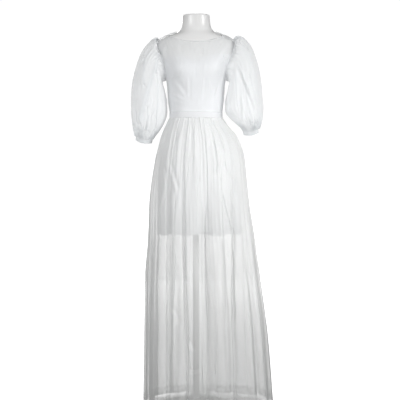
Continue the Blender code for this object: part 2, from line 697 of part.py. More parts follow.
def block(name, size, centre, finish, bevel=0.0):
    """A box of that size about a centre, with its edges rounded by a bevel."""
    shape = bmesh.new()
    bmesh.ops.create_cube(shape, size=1)
    bmesh.ops.scale(shape, vec=size, verts=shape.verts)
    bmesh.ops.translate(shape, vec=centre, verts=shape.verts)
    if bevel:
        bmesh.ops.bevel(shape, geom=list(shape.edges), offset=bevel, segments=2, affect="EDGES")
    mesh = bpy.data.meshes.new(name)
    shape.to_mesh(mesh)
    shape.free()
    made = bpy.data.objects.new(name, mesh)
    bpy.context.scene.collection.objects.link(made)
    made.data.materials.append(material(name, finish))
    return made


def extruded(name, outline, width, finish):
    """An outline in the YZ plane, extruded to a width centred on X."""
    shape = bmesh.new()
    ring = [shape.verts.new((-width / 2, y, z)) for y, z in outline]
    face = shape.faces.new(ring)
    raised = bmesh.ops.extrude_face_region(shape, geom=[face])["geom"]
    moved = [item for item in raised if isinstance(item, bmesh.types.BMVert)]
    bmesh.ops.translate(shape, vec=(width, 0, 0), verts=moved)
    bmesh.ops.recalc_face_normals(shape, faces=list(shape.faces))
    mesh = bpy.data.meshes.new(name)
    shape.to_mesh(mesh)
    shape.free()
    made = bpy.data.objects.new(name, mesh)
    bpy.context.scene.collection.objects.link(made)
    made.data.materials.append(material(name, finish))
    return made


def combine(target, other, operation):
    """Adds a Boolean of the other object, which is kept as a hidden cutter or tool."""
    other.hide_render = True
    other.display_type = "WIRE"
    step = target.modifiers.new(other.name, "BOOLEAN")
    step.operation = operation
    step.object = other
    step.solver = "EXACT"


def zip_slider_and_pull():
    """A slider whose bridge passes through the window of a pull that swings about its top bar."""
    frame = zip_frame()
    slider = block("zip_slider", SLIDER_SIZE, (0, 0, -SLIDER_SIZE.z / 2), "zip", bevel=0.0004)
    turns = [math.pi * i / BRIDGE_STEPS for i in range(BRIDGE_STEPS + 1)]
    arch = [(BRIDGE_OUTER * math.cos(t), BRIDGE_LEG + BRIDGE_OUTER * math.sin(t)) for t in turns]
    hollow = [(BRIDGE_INNER * math.cos(t), BRIDGE_LEG + BRIDGE_INNER * math.sin(t)) for t in turns]
    root = -SLIDER_SIZE.z / 2
    outline = [(BRIDGE_OUTER, root), *arch, (-BRIDGE_OUTER, root), (-BRIDGE_INNER, root)]
    outline += [*reversed(hollow), (BRIDGE_INNER, root)]
    bridge = extruded("slider_bridge", outline, BRIDGE_WIDTH, "zip")
    combine(slider, bridge, "UNION")
    length = PULL_LENGTH + PULL_BAR
    pull = block(
        "zip_pull",
        (PULL_WIDTH, length, PULL_THICKNESS),
        (0, PULL_BAR - length / 2, 0),
        "zip",
        bevel=0.0002,
    )
    window_length = PULL_WINDOW_END - PULL_BAR
    window = block(
        "pull_window",
        (PULL_WINDOW_WIDTH, window_length, 4 * PULL_THICKNESS),
        (0, -PULL_BAR - window_length / 2, 0),
        "zip",
    )
    combine(pull, window, "DIFFERENCE")
    hinge = frame @ Matrix.Translation((0, 0, BRIDGE_LEG))
    for item in (slider, bridge):
        item.matrix_world = frame
    for item in (pull, window):
        item.matrix_world = hinge


def turned(name, profile, finish):
    """A solid turned about the Z axis from a closed profile of (radius, height) points."""
    columns = TURN_STEPS
    points, starts = [], []
    for radius, height in profile:
        starts.append(len(points))
        if radius == 0:
            points.append((0, 0, height))
            continue
        for j in range(columns):
            angle = 2 * math.pi * j / columns
            points.append((radius * math.cos(angle), radius * math.sin(angle), height))
    faces = []
    for i in range(len(profile) - 1):
        low, high = starts[i], starts[i + 1]
        for j in range(columns):
            k = (j + 1) % columns
            if profile[i][0] == 0:
                faces.append((low, high + k, high + j))
            elif profile[i + 1][0] == 0:
                faces.append((low + j, low + k, high))
            else:
                faces.append((low + j, low + k, high + k, high + j))
    return add_mesh(name, points, faces, finish, round_edges=math.radians(30))


def stand():
    """A flat round base with a socketed hub, and a pole whose flange carries the form."""
    floor_of_socket = BASE_THICKNESS / 2
    turned(
        "stand_base",
        (
            (0, 0),
            (BASE_RADIUS - BASE_EDGE, 0),
            (BASE_RADIUS, BASE_EDGE),
            (BASE_RADIUS, BASE_THICKNESS - BASE_EDGE),
            (BASE_RADIUS - BASE_EDGE, BASE_THICKNESS),
            (HUB_RADIUS, BASE_THICKNESS),
            (HUB_RADIUS, HUB_HEIGHT),
            (POLE_RADIUS + POLE_GAP, HUB_HEIGHT),
            (POLE_RADIUS + POLE_GAP, floor_of_socket),
            (0, floor_of_socket),
        ),
        "stand",
    )
    top = FORM_BOTTOM - SEAM
    turned(
        "stand_pole",
        (
            (0, floor_of_socket + SEAM),
            (POLE_RADIUS, floor_of_socket + SEAM),
            (POLE_RADIUS, top - 2 * FLANGE_THICKNESS),
            (FLANGE_RADIUS, top - FLANGE_THICKNESS),
            (FLANGE_RADIUS, top),
            (0, top),
        ),
        "stand",
    )


def dress_form():
    """The form: neck, shoulders, bust, waist and hips in one closed skin, cut flat at both ends."""
    shared = [row.side for row in SHARED_ROWS] + [BAND_BOTTOM, BAND_TOP]
    own = [s.z for s in FORM_SECTIONS if not BAND_BOTTOM < s.z < SHARED_ROWS[-1].side]
    heights = np.array(sorted({round(z, 5) for z in shared + own}))
    heights = heights[np.append(True, np.diff(heights) > 2 * SEAM)]
    angles = np.radians(np.arange(-180, 180, BODY_STEP, dtype=float))
    grid = body_point(*np.meshgrid(angles, heights))
    rows, columns = grid.shape[:2]
    ends = [[0, section.side, section.z] for section in (FORM_SECTIONS[0], FORM_SECTIONS[-1])]
    points = np.concatenate([grid.reshape(-1, 3), ends])
    bottom, top = rows * columns, rows * columns + 1
    faces = grid_faces(rows, columns, True)
    for j in range(columns):
        k = (j + 1) % columns
        faces.append((bottom, k, j))
        faces.append((top, (rows - 1) * columns + j, (rows - 1) * columns + k))
    add_mesh("form_torso", points, faces, "form")


def main():
    clear_scene()
    dress_form()
    stand()
    lining_bodice()
    panels = organza_bodice()
    waistband()
    lining_skirt()
    organza_skirt()
    sleeves(panels)
    neck_binding(panels)
    zip_chain()
    zip_slider_and_pull()


main()
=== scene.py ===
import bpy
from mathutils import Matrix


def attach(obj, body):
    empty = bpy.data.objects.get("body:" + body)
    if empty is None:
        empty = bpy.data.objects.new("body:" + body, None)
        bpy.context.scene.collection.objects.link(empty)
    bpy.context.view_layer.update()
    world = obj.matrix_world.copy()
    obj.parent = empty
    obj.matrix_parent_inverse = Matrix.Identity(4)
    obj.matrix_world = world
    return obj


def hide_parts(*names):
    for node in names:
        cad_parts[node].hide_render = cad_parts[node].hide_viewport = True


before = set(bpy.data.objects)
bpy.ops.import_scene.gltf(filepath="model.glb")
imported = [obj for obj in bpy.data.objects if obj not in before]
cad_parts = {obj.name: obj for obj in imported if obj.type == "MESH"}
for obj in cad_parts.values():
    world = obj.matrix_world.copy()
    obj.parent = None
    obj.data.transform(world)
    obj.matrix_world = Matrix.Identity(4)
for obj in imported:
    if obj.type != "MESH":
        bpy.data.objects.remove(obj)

"""The looks of a white organza evening gown on a headless dress form.

Metres, +Z up. The front faces -Y. Left and right are the wearer's, so the left side is at +X.
An angle round the body is 0 at the front, a quarter turn at the left side and a half turn at the back.
Each piece is a surface over a grid: its rows rise and its columns turn to the left, so faces point out.
"""

import logging
import math
from dataclasses import dataclass
from enum import Enum
from typing import NamedTuple, Sequence

import bmesh
import bpy
import numpy as np
from mathutils import Vector

Array = np.ndarray
Piece = bpy.types.Object
Socket = bpy.types.NodeSocket
Colour = tuple[float, float, float]
GOWN = "gown"
PER_METRE = 1000
log = logging.getLogger("gown")


class Slot(Enum):
    """The record's material slots."""

    ORGANZA = "organza"
    LINING = "lining"
    FORM = "form"
    STAND = "stand"
    ZIP = "zip"


# Curves and grids


def smoothstep(low: float, high: float, value: Array) -> Array:
    """A soft step from 0 at low to 1 at high: 3t^2 - 2t^3 of the clamped share t."""
    share = np.clip((np.asarray(value, float) - low) / (high - low), 0, 1)
    return share * share * (3 - 2 * share)


def between(share: Array, start: float, end: float) -> Array:
    """A soft rise from 0 over the start of a share, and a soft fall back to 0 over its end."""
    return smoothstep(0, start, share) * smoothstep(1, 1 - end, share)


def inside(count: int, edge: float) -> Array:
    """Evenly spaced places: 0 at both ends and 1 past an edge, which is a share of the whole."""
    return between(np.linspace(0, 1, count), edge, edge)


def bell(off: Array) -> Array:
    """A smooth hump, exp(-x^2)."""
    return np.exp(-(off**2))


def through(places: Sequence[float], values: Sequence[float], at: Array) -> Array:
    """A monotone cubic through knots.

    Args:
        places: the knots' rising places.
        values: the value at each knot.
        at: where to read the curve; outside the knots it is flat.

    Returns:
        The curve's values, with slopes that are harmonic means of the neighbouring chords.
    """
    x, y = np.asarray(places, float), np.asarray(values, float)
    step, slope = np.diff(x), np.diff(y) / np.diff(x)
    same_way = slope[:-1] * slope[1:] > 0
    weight = np.where(same_way, slope[:-1] * slope[1:], 0)
    total = np.where(same_way, slope[:-1] + slope[1:], 1)
    tangent = np.concatenate([[slope[0]], 2 * weight / total, [slope[-1]]])
    at = np.clip(np.asarray(at, float), x[0], x[-1])
    i = np.clip(np.searchsorted(x, at) - 1, 0, len(step) - 1)
    t = (at - x[i]) / step[i]
    rise = (3 - 2 * t) * t * t
    start, end = t * (1 - t) ** 2, t * t * (t - 1)
    return y[i] + rise * (y[i + 1] - y[i]) + step[i] * (start * tangent[i] + end * tangent[i + 1])


def column(rows: Sequence[NamedTuple], name: str, at: Array) -> Array:
    """A table's named column on a smooth curve over its first column."""
    return through([row[0] for row in rows], [getattr(row, name) for row in rows], at)


def wrapped(angle: Array) -> Array:
    """An angle brought into the half turn on each side of 0."""
    return np.arctan2(np.sin(angle), np.cos(angle))


def unit(vectors: Array) -> Array:
    """The vectors drawn out or in to a length of 1."""
    return vectors / np.maximum(np.linalg.norm(vectors, axis=-1, keepdims=True), 1e-12)


def whole_turn(count: int, start: float = 0.0) -> Array:
    """Evenly spaced angles over a whole turn."""
    return 2 * math.pi * np.arange(count) / count + start


def circles(first: Array, second: Array, sides: int) -> Array:
    """Circles of radius 1 in the planes of two directions, one for each row of them."""
    turn = whole_turn(sides)[None, :, None]
    return np.cos(turn) * first[:, None] + np.sin(turn) * second[:, None]


def grid_normals(grid: Array, closed: bool) -> Array:
    """Unit normals of a grid: the cross product of its direction along rows and up columns."""
    along = np.roll(grid, -1, 1) - np.roll(grid, 1, 1) if closed else np.gradient(grid, axis=1)
    return unit(np.cross(along, np.gradient(grid, axis=0)))


def refined(rings: Array, rows: int) -> Array:
    """More rings between a few, each column on a Catmull-Rom curve through its points.

    Args:
        rings: the known rings, an array of rings, columns and coordinates.
        rows: how many rings to make, evenly spread over the known ones.
    """
    known = np.concatenate([2 * rings[:1] - rings[1:2], rings, 2 * rings[-1:] - rings[-2:-1]])
    place = np.linspace(0, len(rings) - 1, rows)
    i = np.minimum(place.astype(int), len(rings) - 2)
    t = (place - i)[:, None, None]
    a, b, c, d = known[i], known[i + 1], known[i + 2], known[i + 3]
    return 0.5 * (2 * b + (c - a) * t + (2 * a - 5 * b + 4 * c - d) * t**2 + (3 * b - a - 3 * c + d) * t**3)


def quads(rows: int, columns: int, closed: bool = False) -> Array:
    """The corner numbers of a grid's faces; closed joins the last column to the first."""
    low = np.arange(rows - 1)[:, None] * columns
    j = np.arange(columns if closed else columns - 1)[None]
    k, high = (j + 1) % columns, low + columns
    return np.stack([low + j, low + k, high + k, high + j], -1).reshape(-1, 4)


def cloth_lengths(grid: Array, closed: bool) -> list[Array]:
    """Mean lengths from 0 round the rows, with the way back to the start if closed, and up the columns."""
    ring = np.concatenate([grid, grid[:, :1]], 1) if closed else grid
    steps = [np.linalg.norm(np.diff(ring, axis=axis), axis=-1).mean(1 - axis) for axis in (1, 0)]
    return [np.concatenate([[0], np.cumsum(step)]) for step in steps]


def cloth_uv(grid: Array, closed: bool) -> Array:
    """Metres along the cloth, for every face corner."""
    u, v = np.meshgrid(*cloth_lengths(grid, closed))
    return np.stack([u, v], -1).reshape(-1, 2)[quads(*u.shape).ravel()]


def mesh_from(
    name: str, points: Array, faces: Array, uv: Array | None = None, sharp: float = 40, weld: bool = False
) -> Piece:
    """A smooth object at the origin.

    Args:
        name: the piece's name.
        points: its points, one row each.
        faces: its faces' corner numbers, all with the same number of corners.
        uv: one row for each face corner, in metres along the cloth.
        sharp: edges that turn by more than this many degrees are shaded sharp.
        weld: merges points that coincide, which closes a ring of zero radius.
    """
    mesh = bpy.data.meshes.new(name)
    mesh.from_pydata(points.reshape(-1, 3).tolist(), [], faces.tolist())
    if uv is not None:
        mesh.uv_layers.new(name="cloth").data.foreach_set("uv", uv.astype(np.float32).ravel())
    mesh.shade_smooth()
    mesh.set_sharp_from_angle(angle=math.radians(sharp))
    made = bpy.data.objects.new(name, mesh)
    bpy.context.scene.collection.objects.link(made)
    if weld:
        shape = bmesh.new()
        shape.from_mesh(mesh)
        bmesh.ops.remove_doubles(shape, verts=shape.verts, dist=1e-6)
        bmesh.ops.dissolve_degenerate(shape, edges=shape.edges, dist=1e-7)
        shape.to_mesh(mesh)
        shape.free()
    return made


def sheet_from(name: str, grid: Array, closed: bool = False) -> Piece:
    """One layer of cloth over a grid."""
    return mesh_from(name, grid, quads(*grid.shape[:2], closed), cloth_uv(grid, closed), sharp=75)


def shell_from(name: str, grid: Array, thickness: float, closed: bool = False) -> Piece:
    """A closed thin wall: the grid, the grid moved in along its normals, and the rims between them."""
    rows, columns = grid.shape[:2]
    points = np.concatenate([grid, grid - grid_normals(grid, closed) * thickness])
    outer, skip = quads(rows, columns, closed), rows * columns
    j = np.arange(columns if closed else columns - 1)
    k, top = (j + 1) % columns, (rows - 1) * columns
    corners = [(j, j + skip, k + skip, k), (top + j, top + k, top + k + skip, top + j + skip)]
    if not closed:
        near = np.arange(rows - 1) * columns
        far, over = near + columns - 1, columns + skip
        corners.append((near, near + columns, near + over, near + skip))
        corners.append((far, far + skip, far + over, far + columns))
    rims = np.concatenate([np.stack(each, -1) for each in corners])
    flat = cloth_uv(grid, closed).reshape(-1, 4, 2)
    uv = np.concatenate([flat, flat[:, ::-1], np.zeros((len(rims), 4, 2))])
    return mesh_from(name, points, np.concatenate([outer, outer[:, ::-1] + skip, rims]), uv.reshape(-1, 2))


def tube_from(name: str, path: Array, radius: float, sides: int = 12) -> Piece:
    """A round tube along a path of points, with domed ends."""
    along = unit(np.gradient(path, axis=0))
    side = unit(np.cross(along, [0.13, 0.21, 0.97]))
    round_it = path[:, None] + circles(side, np.cross(along, side), sides) * radius
    tips = [path[:1] - along[:1] * radius * 0.6, path[-1:] + along[-1:] * radius * 0.6]
    start, end = (np.repeat(tip[:, None], sides, 1) for tip in tips)
    points = np.concatenate([start, round_it, end])
    return mesh_from(name, points, quads(*points.shape[:2], True), weld=True)


class Crease(NamedTuple):
    """A soft trough with a ridge beside it, along a line seen from the front or the back, in millimetres.

    The line is x and z by turns. A tuck draws the cloth together across the line, and past the width it
    overlaps itself. The fades are shares of the line at its start and its end.
    """

    line: tuple[float, ...]
    width: float
    depth: float
    back: bool = False
    tuck: float = 0.0
    fade: tuple[float, float] = (0.3, 0.3)


def creased(grid: Array, creases: Sequence[Crease], closed: bool = False) -> Array:
    """A grid pushed along its normals and drawn together by listed creases.

    A point at signed distance s from a crease's line, in widths, moves out by depth times
    0.6 exp(-(s - 1.5)^2) - exp(-s^2). A tuck moves it across the line by -tuck s exp(-s^2 / 2), and out by
    -0.3 times as much, so that the layers stay apart. Both fade towards the ends of the line.
    """
    normal = grid_normals(grid, closed)
    moved = np.zeros_like(grid)
    place = grid[..., [0, 2]]
    for crease in creases:
        line = np.array(crease.line).reshape(-1, 2) / PER_METRE
        lengths = np.linalg.norm(np.diff(line, axis=0), axis=1)
        done = 0.0
        nearest = np.full(place.shape[:2], np.inf)
        signed, share = np.zeros_like(nearest), np.zeros_like(nearest)
        across = np.zeros_like(grid)
        for start, end, length in zip(line[:-1], line[1:], lengths):
            along = (end - start) / length
            offset = place - start
            run = np.clip(offset @ along, 0, length)
            gap = np.linalg.norm(offset - run[..., None] * along, axis=-1)
            side = offset[..., 0] * along[1] - offset[..., 1] * along[0]
            closer = gap < nearest
            nearest = np.where(closer, gap, nearest)
            signed = np.where(closer, np.sign(side) * gap, signed)
            share = np.where(closer, (done + run) / lengths.sum(), share)
            across[closer] = (along[1], 0, -along[0])
            done += length
        s = signed / (crease.width / PER_METRE)
        facing = normal[..., 1] if crease.back else -normal[..., 1]
        strength = between(share, *crease.fade) * smoothstep(0, 0.35, facing)
        profile = 0.6 * bell(s - 1.5) - bell(s)
        moved += normal * (crease.depth / PER_METRE * profile * strength)[..., None]
        if crease.tuck:
            drawn = crease.tuck / PER_METRE * s * np.exp(-(s**2) / 2) * strength
            flat = across - normal * (across * normal).sum(-1, keepdims=True)
            moved -= (flat + 0.3 * normal) * drawn[..., None]
    return grid + moved


CRUMPLE_WAVES = 9


def crumpled(
    grid: Array, size: float, depth: float, seed: int, closed: bool = False, stretch: float = 2.5
) -> Array:
    """A grid with fine uneven crumples along its normals.

    The height is a mean of folded waves 1 - 2|sin(k u cos q + k v sin q / stretch + p)|, whose direction q,
    pitch k and phase p are drawn from a seeded generator, each weighted by a slow wave of its own.

    Args:
        grid: the cloth.
        size: the mean distance between crumples across the cloth, in metres.
        depth: the height of the tallest ones.
        seed: the generator's seed.
        closed: whether the grid's rows close.
        stretch: how much longer the crumples are up the cloth than across it.
    """
    draw = np.random.default_rng(seed)
    u, v = cloth_lengths(grid, closed)
    whole = u[-1]
    u, v = np.meshgrid(u[: grid.shape[1]], v)
    height = np.zeros(grid.shape[:2])
    for _ in range(CRUMPLE_WAVES):
        turn, pitch = draw.uniform(-0.5, 0.5), draw.uniform(0.6, 1.6)
        phase, slow = draw.uniform(0, 6.28, 2), draw.uniform(0.15, 0.4, 2)
        waves = math.pi * pitch / size
        if closed:
            waves = 2 * math.pi * max(1, round(waves * whole / (2 * math.pi))) / whole
        angle = waves * u + waves * math.tan(turn) / stretch * v + phase[0]
        calm = np.sin(2 * math.pi * round(slow[0] * whole / size) / whole * u + phase[1])
        calm = calm * np.sin(waves * slow[1] / stretch * v + phase[0])
        height += (1 - 2 * np.abs(np.sin(angle))) * np.clip(calm, 0, 1)
    return grid + grid_normals(grid, closed) * (height * depth / 3)[..., None]


# Finishes


class NodeBook:
    """The nodes of a material or a world, made and wired by short calls."""

    def __init__(self, owner: bpy.types.Material | bpy.types.World) -> None:
        """Opens the owner's nodes, of which the first is its shader or its background."""
        owner.use_nodes = True
        self.tree = owner.node_tree
        self.shader = next(node for node in self.tree.nodes if not node.type.startswith("OUTPUT"))

    def fill(self, socket: Socket, value: object) -> None:
        """Wires an input to an output, or gives it a constant."""
        if isinstance(value, Socket):
            self.tree.links.new(value, socket)
        else:
            socket.default_value = value

    def add(self, kind: str, **settings: object) -> bpy.types.Node:
        """A node of that kind, with its properties set and its inputs filled by their names.

        Args:
            kind: the node's type without its ShaderNode prefix.
            settings: properties in lower case, and inputs whose names start with a capital.
        """
        node = self.tree.nodes.new(f"ShaderNode{kind}")
        for key, value in settings.items():
            if key[0].isupper():
                self.fill(node.inputs[key.replace("_", " ")], value)
            else:
                setattr(node, key, value)
        return node

    def math(self, operation: str, first: object, second: object = 0.0) -> Socket:
        """The result of one Math node."""
        node = self.add("Math", operation=operation)
        for socket, value in zip(node.inputs, (first, second)):
            self.fill(socket, value)
        return node.outputs[0]

    def noise(self, place: object, scale: float, detail: float, roughness: float = 0.5) -> Socket:
        """Cloudy noise round a half, at a place."""
        node = self.add("TexNoise", Vector=place, Scale=scale, Detail=detail, Roughness=roughness)
        return node.outputs["Fac"]

    def tint(self, factor: Socket, low: Colour, high: Colour) -> None:
        """Colours the shader from low to high by a factor."""
        ramp = self.add("ValToRGB", Fac=factor)
        for stop, colour in zip(ramp.color_ramp.elements, (low, high)):
            stop.color = (*colour, 1)
        self.set(Base_Color=ramp.outputs[0])

    def bump(self, height: Socket, distance: float, strength: float) -> None:
        """Raises the surface by a height."""
        made = self.add("Bump", Height=height, Distance=distance, Strength=strength)
        self.set(Normal=made.outputs[0])

    def set(self, **values: object) -> None:
        """Fills the shader's own inputs, whose spaces are written as underscores."""
        for key, value in values.items():
            self.fill(self.shader.inputs[key.replace("_", " ")], value)


@dataclass(frozen=True)
class ClothFinish:
    """Woven cloth: crossed threads, uneven slubs and a slight change of colour from place to place."""

    name: str
    dark: Colour
    light: Colour
    alpha: float = 1.0
    roughness: float = 0.5
    sheen: float = 0.3
    thread: float = 0.0006
    slub: float = 0.0035
    relief: float = 0.25

    def material(self) -> bpy.types.Material:
        """Builds it: sine threads both ways and long noise along the weft, on the cloth's own map."""
        made = bpy.data.materials.new(self.name)
        book = NodeBook(made)
        place = book.add("TexCoord").outputs["UV"]
        apart = book.add("SeparateXYZ", Vector=place)
        pitch = 2 * math.pi / self.thread
        warp, weft = (book.math("SINE", book.math("MULTIPLY", apart.outputs[way], pitch)) for way in (0, 1))
        long_way = book.add("Mapping", Vector=place, Scale=(1 / self.slub / 14, 1 / self.slub, 1))
        slubs = book.noise(long_way.outputs[0], 1.0, 3.0, 0.6)
        cloudy = book.noise(place, 9.0, 2.0)
        weave = book.math("MULTIPLY", book.math("MULTIPLY", warp, weft), 0.3)
        book.bump(book.math("ADD", weave, slubs), distance=0.0006, strength=self.relief)
        mixed = book.math("ADD", book.math("MULTIPLY", cloudy, 0.6), book.math("MULTIPLY", slubs, 0.4))
        book.tint(mixed, self.dark, self.light)
        book.set(Alpha=self.alpha, Roughness=self.roughness, Specular_IOR_Level=0.3)
        book.set(Sheen_Weight=self.sheen, Sheen_Roughness=0.4)
        return made


@dataclass(frozen=True)
class HardFinish:
    """A moulded, painted or plated surface with a faint unevenness and worn tone."""

    name: str
    dark: Colour
    light: Colour
    roughness: float = 0.3
    coat: float = 0.0
    grain: float = 60.0
    relief: float = 0.05
    specular: float = 0.5

    def material(self) -> bpy.types.Material:
        """Builds it: cloudy noise tints it, and finer noise moves its gloss and its surface."""
        made = bpy.data.materials.new(self.name)
        book = NodeBook(made)
        place = book.add("TexCoord").outputs["Object"]
        cloudy = book.noise(place, 7.0, 3.0, 0.55)
        fine = book.noise(place, self.grain, 2.0)
        book.tint(cloudy, self.dark, self.light)
        gloss = book.add("MapRange", Value=fine, To_Min=self.roughness * 0.85, To_Max=self.roughness * 1.2)
        book.bump(fine, distance=0.0008, strength=self.relief)
        book.set(Roughness=gloss.outputs[0], Specular_IOR_Level=self.specular)
        book.set(Coat_Weight=self.coat, Coat_Roughness=0.15)
        return made


Finish = ClothFinish | HardFinish
ORGANZA = ClothFinish(
    "organza", (0.91, 0.925, 0.94), (0.97, 0.985, 0.995), alpha=0.42, roughness=0.45, sheen=0.3
)
SLEEVE_ORGANZA = ClothFinish(
    "sleeve_organza", (0.88, 0.90, 0.92), (0.96, 0.98, 0.99), alpha=0.46, roughness=0.45
)
SKIRT_ORGANZA = ClothFinish(
    "skirt_organza", (0.865, 0.875, 0.87), (0.96, 0.97, 0.968), alpha=0.58, roughness=0.5, sheen=0.25
)
SKIRT_HEM = ClothFinish(
    "skirt_hem_organza", (0.87, 0.88, 0.86), (0.97, 0.975, 0.96), alpha=0.30, roughness=0.5
)
ORGANZA_DOUBLED = ClothFinish(
    "organza_doubled", (0.88, 0.90, 0.92), (0.96, 0.98, 0.99), alpha=0.50, roughness=0.45
)
SATIN = ClothFinish(
    "lining_satin", (0.825, 0.833, 0.85), (0.895, 0.90, 0.915), roughness=0.45, sheen=0.2, thread=0.0005
)
BAND = ClothFinish("waistband_cloth", (0.72, 0.73, 0.745), (0.80, 0.81, 0.825), roughness=0.5, sheen=0.2)
THREAD = ClothFinish("sewing_thread", (0.86, 0.87, 0.89), (0.94, 0.95, 0.96), roughness=0.5, thread=0.0003)
LACQUER = HardFinish("form_lacquer", (0.83, 0.83, 0.825), (0.89, 0.89, 0.885), roughness=0.35, coat=0.2)
ENAMEL = HardFinish(
    "stand_enamel", (0.93, 0.93, 0.92), (0.97, 0.97, 0.96), roughness=0.42, grain=220.0, specular=1.0
)
NYLON = HardFinish("zip_nylon", (0.82, 0.83, 0.85), (0.90, 0.91, 0.93), roughness=0.4, grain=300.0)


class Wardrobe:
    """Hands out each finish's one material and puts pieces on their bodies."""

    def __init__(self) -> None:
        """Starts with no material made."""
        self.made: dict[str, bpy.types.Material] = {}

    def dress(self, piece: Piece, finish: Finish, replaces: Sequence[str] = ()) -> Piece:
        """Gives a piece its material and body, and says which CAD nodes it stands for."""
        if finish.name not in self.made:
            self.made[finish.name] = finish.material()
        piece.data.materials.clear()
        piece.data.materials.append(self.made[finish.name])
        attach(piece, GOWN)
        if replaces:
            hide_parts(*replaces)
        log.info("%s: %d faces", piece.name, len(piece.data.polygons))
        return piece


WARDROBE = Wardrobe()


# The body under the cloth


class FormRow(NamedTuple):
    """A ring of the form: height, half width, and y of its front, widest point and back."""

    z: float
    half: float
    front: float
    side: float
    back: float


FORM_ROWS = tuple(FormRow(*row) for row in (
    (0.8, 0.134, -0.082, 0, 0.094),
    (0.92, 0.142, -0.099, 0, 0.117),
    (0.98, 0.137, -0.099, 0, 0.113),
    (1.05, 0.123, -0.094, 0, 0.099),
    (1.11, 0.108, -0.086, 0, 0.084),
    (1.157, 0.1025, -0.081, 0, 0.076),
    (1.2, 0.104, -0.085, 0, 0.08),
    (1.25, 0.107, -0.094, 0, 0.086),
    (1.29, 0.1105, -0.103, 0, 0.091),
    (1.3345, 0.124, -0.108, 0.001, 0.095),
    (1.3915, 0.152, -0.098, 0.002, 0.095),
    (1.4255, 0.16, -0.087, 0.003, 0.091),
    (1.4465, 0.157, -0.079, 0.004, 0.087),
    (1.46, 0.145, -0.074, 0.004, 0.083),
    (1.47, 0.128, -0.07, 0.004, 0.078),
    (1.4785, 0.106, -0.067, 0.003, 0.071),
    (1.486, 0.081, -0.063, 0.001, 0.063),
    (1.496, 0.069, -0.06, -0.002, 0.055),
    (1.5105, 0.06, -0.059, -0.005, 0.049),
    (1.5315, 0.056, -0.06, -0.007, 0.046),
    (1.556, 0.0545, -0.062, -0.008, 0.045),
))
BAND_BOTTOM, BAND_TOP = 1.146, 1.168
BAND_OFF = 0.0036
UNDERARM, SHOULDER_TIP = 1.300, 1.460
ARMHOLE_HALF = (SHOULDER_TIP - UNDERARM) / 2
ARMHOLE_FRONT, ARMHOLE_BACK = math.radians(33), math.radians(27)
CORNER_FULLNESS = 0.035


@dataclass(frozen=True)
class BodyShape:
    """The form's skin as a function of angle and height, and the offsets of the cloth over it."""

    bust_rise: float = 0.013
    bust_angle: float = math.radians(36)
    bust_spread: float = math.radians(26)
    bust_z: float = 1.336
    bust_height: float = 0.050

    def point(self, angle: Array, z: Array) -> Array:
        """An egg-shaped ring, fuller at its corners by 3.5% sin^2(2a), with two soft mounds for a bust."""
        angle, z = np.broadcast_arrays(np.asarray(angle, float), np.asarray(z, float))
        half, front, side, back = (column(FORM_ROWS, name, z) for name in ("half", "front", "side", "back"))
        full = 1 + CORNER_FULLNESS * np.sin(2 * angle) ** 2
        ahead = np.cos(angle)
        reach = np.where(ahead > 0, front - side, side - back)
        off_apex = (np.abs(wrapped(angle)) - self.bust_angle) / self.bust_spread
        bust = self.bust_rise * bell(off_apex) * bell((z - self.bust_z) / self.bust_height)
        y = side + reach * ahead * full - bust * np.maximum(ahead, 0)
        return np.stack([half * np.sin(angle) * full, y, z], -1)

    def normal(self, angle: Array, z: Array) -> Array:
        """The unit normal, from small steps round and up the skin."""
        turn, rise = 0.002, 0.0008
        round_it = self.point(angle + turn, z) - self.point(angle - turn, z)
        return unit(np.cross(round_it, self.point(angle, z + rise) - self.point(angle, z - rise)))

    def out(self, angle: Array, z: Array, distance: Array) -> Array:
        """The skin moved out along its normal."""
        angle, z = np.broadcast_arrays(np.asarray(angle, float), np.asarray(z, float))
        distance = np.broadcast_to(distance, z.shape)
        return self.point(angle, z) + self.normal(angle, z) * distance[..., None]

    def lining_off(self, z: Array) -> Array:
        """How far the lining's outer side stands off: 2 mm at the waist seam, 3.8 mm above it."""
        return 0.0020 + 0.0018 * smoothstep(BAND_TOP, BAND_TOP + 0.055, z)

    def organza_off(self, z: Array) -> Array:
        """How far the organza stands off: 3 mm at the waist, 7 mm over the lining, 4.2 mm over the yoke."""
        over_lining = 0.0041 * smoothstep(BAND_TOP, BAND_TOP + 0.055, z)
        return 0.0030 + over_lining - 0.0029 * smoothstep(1.401, 1.464, z)


BODY = BodyShape()


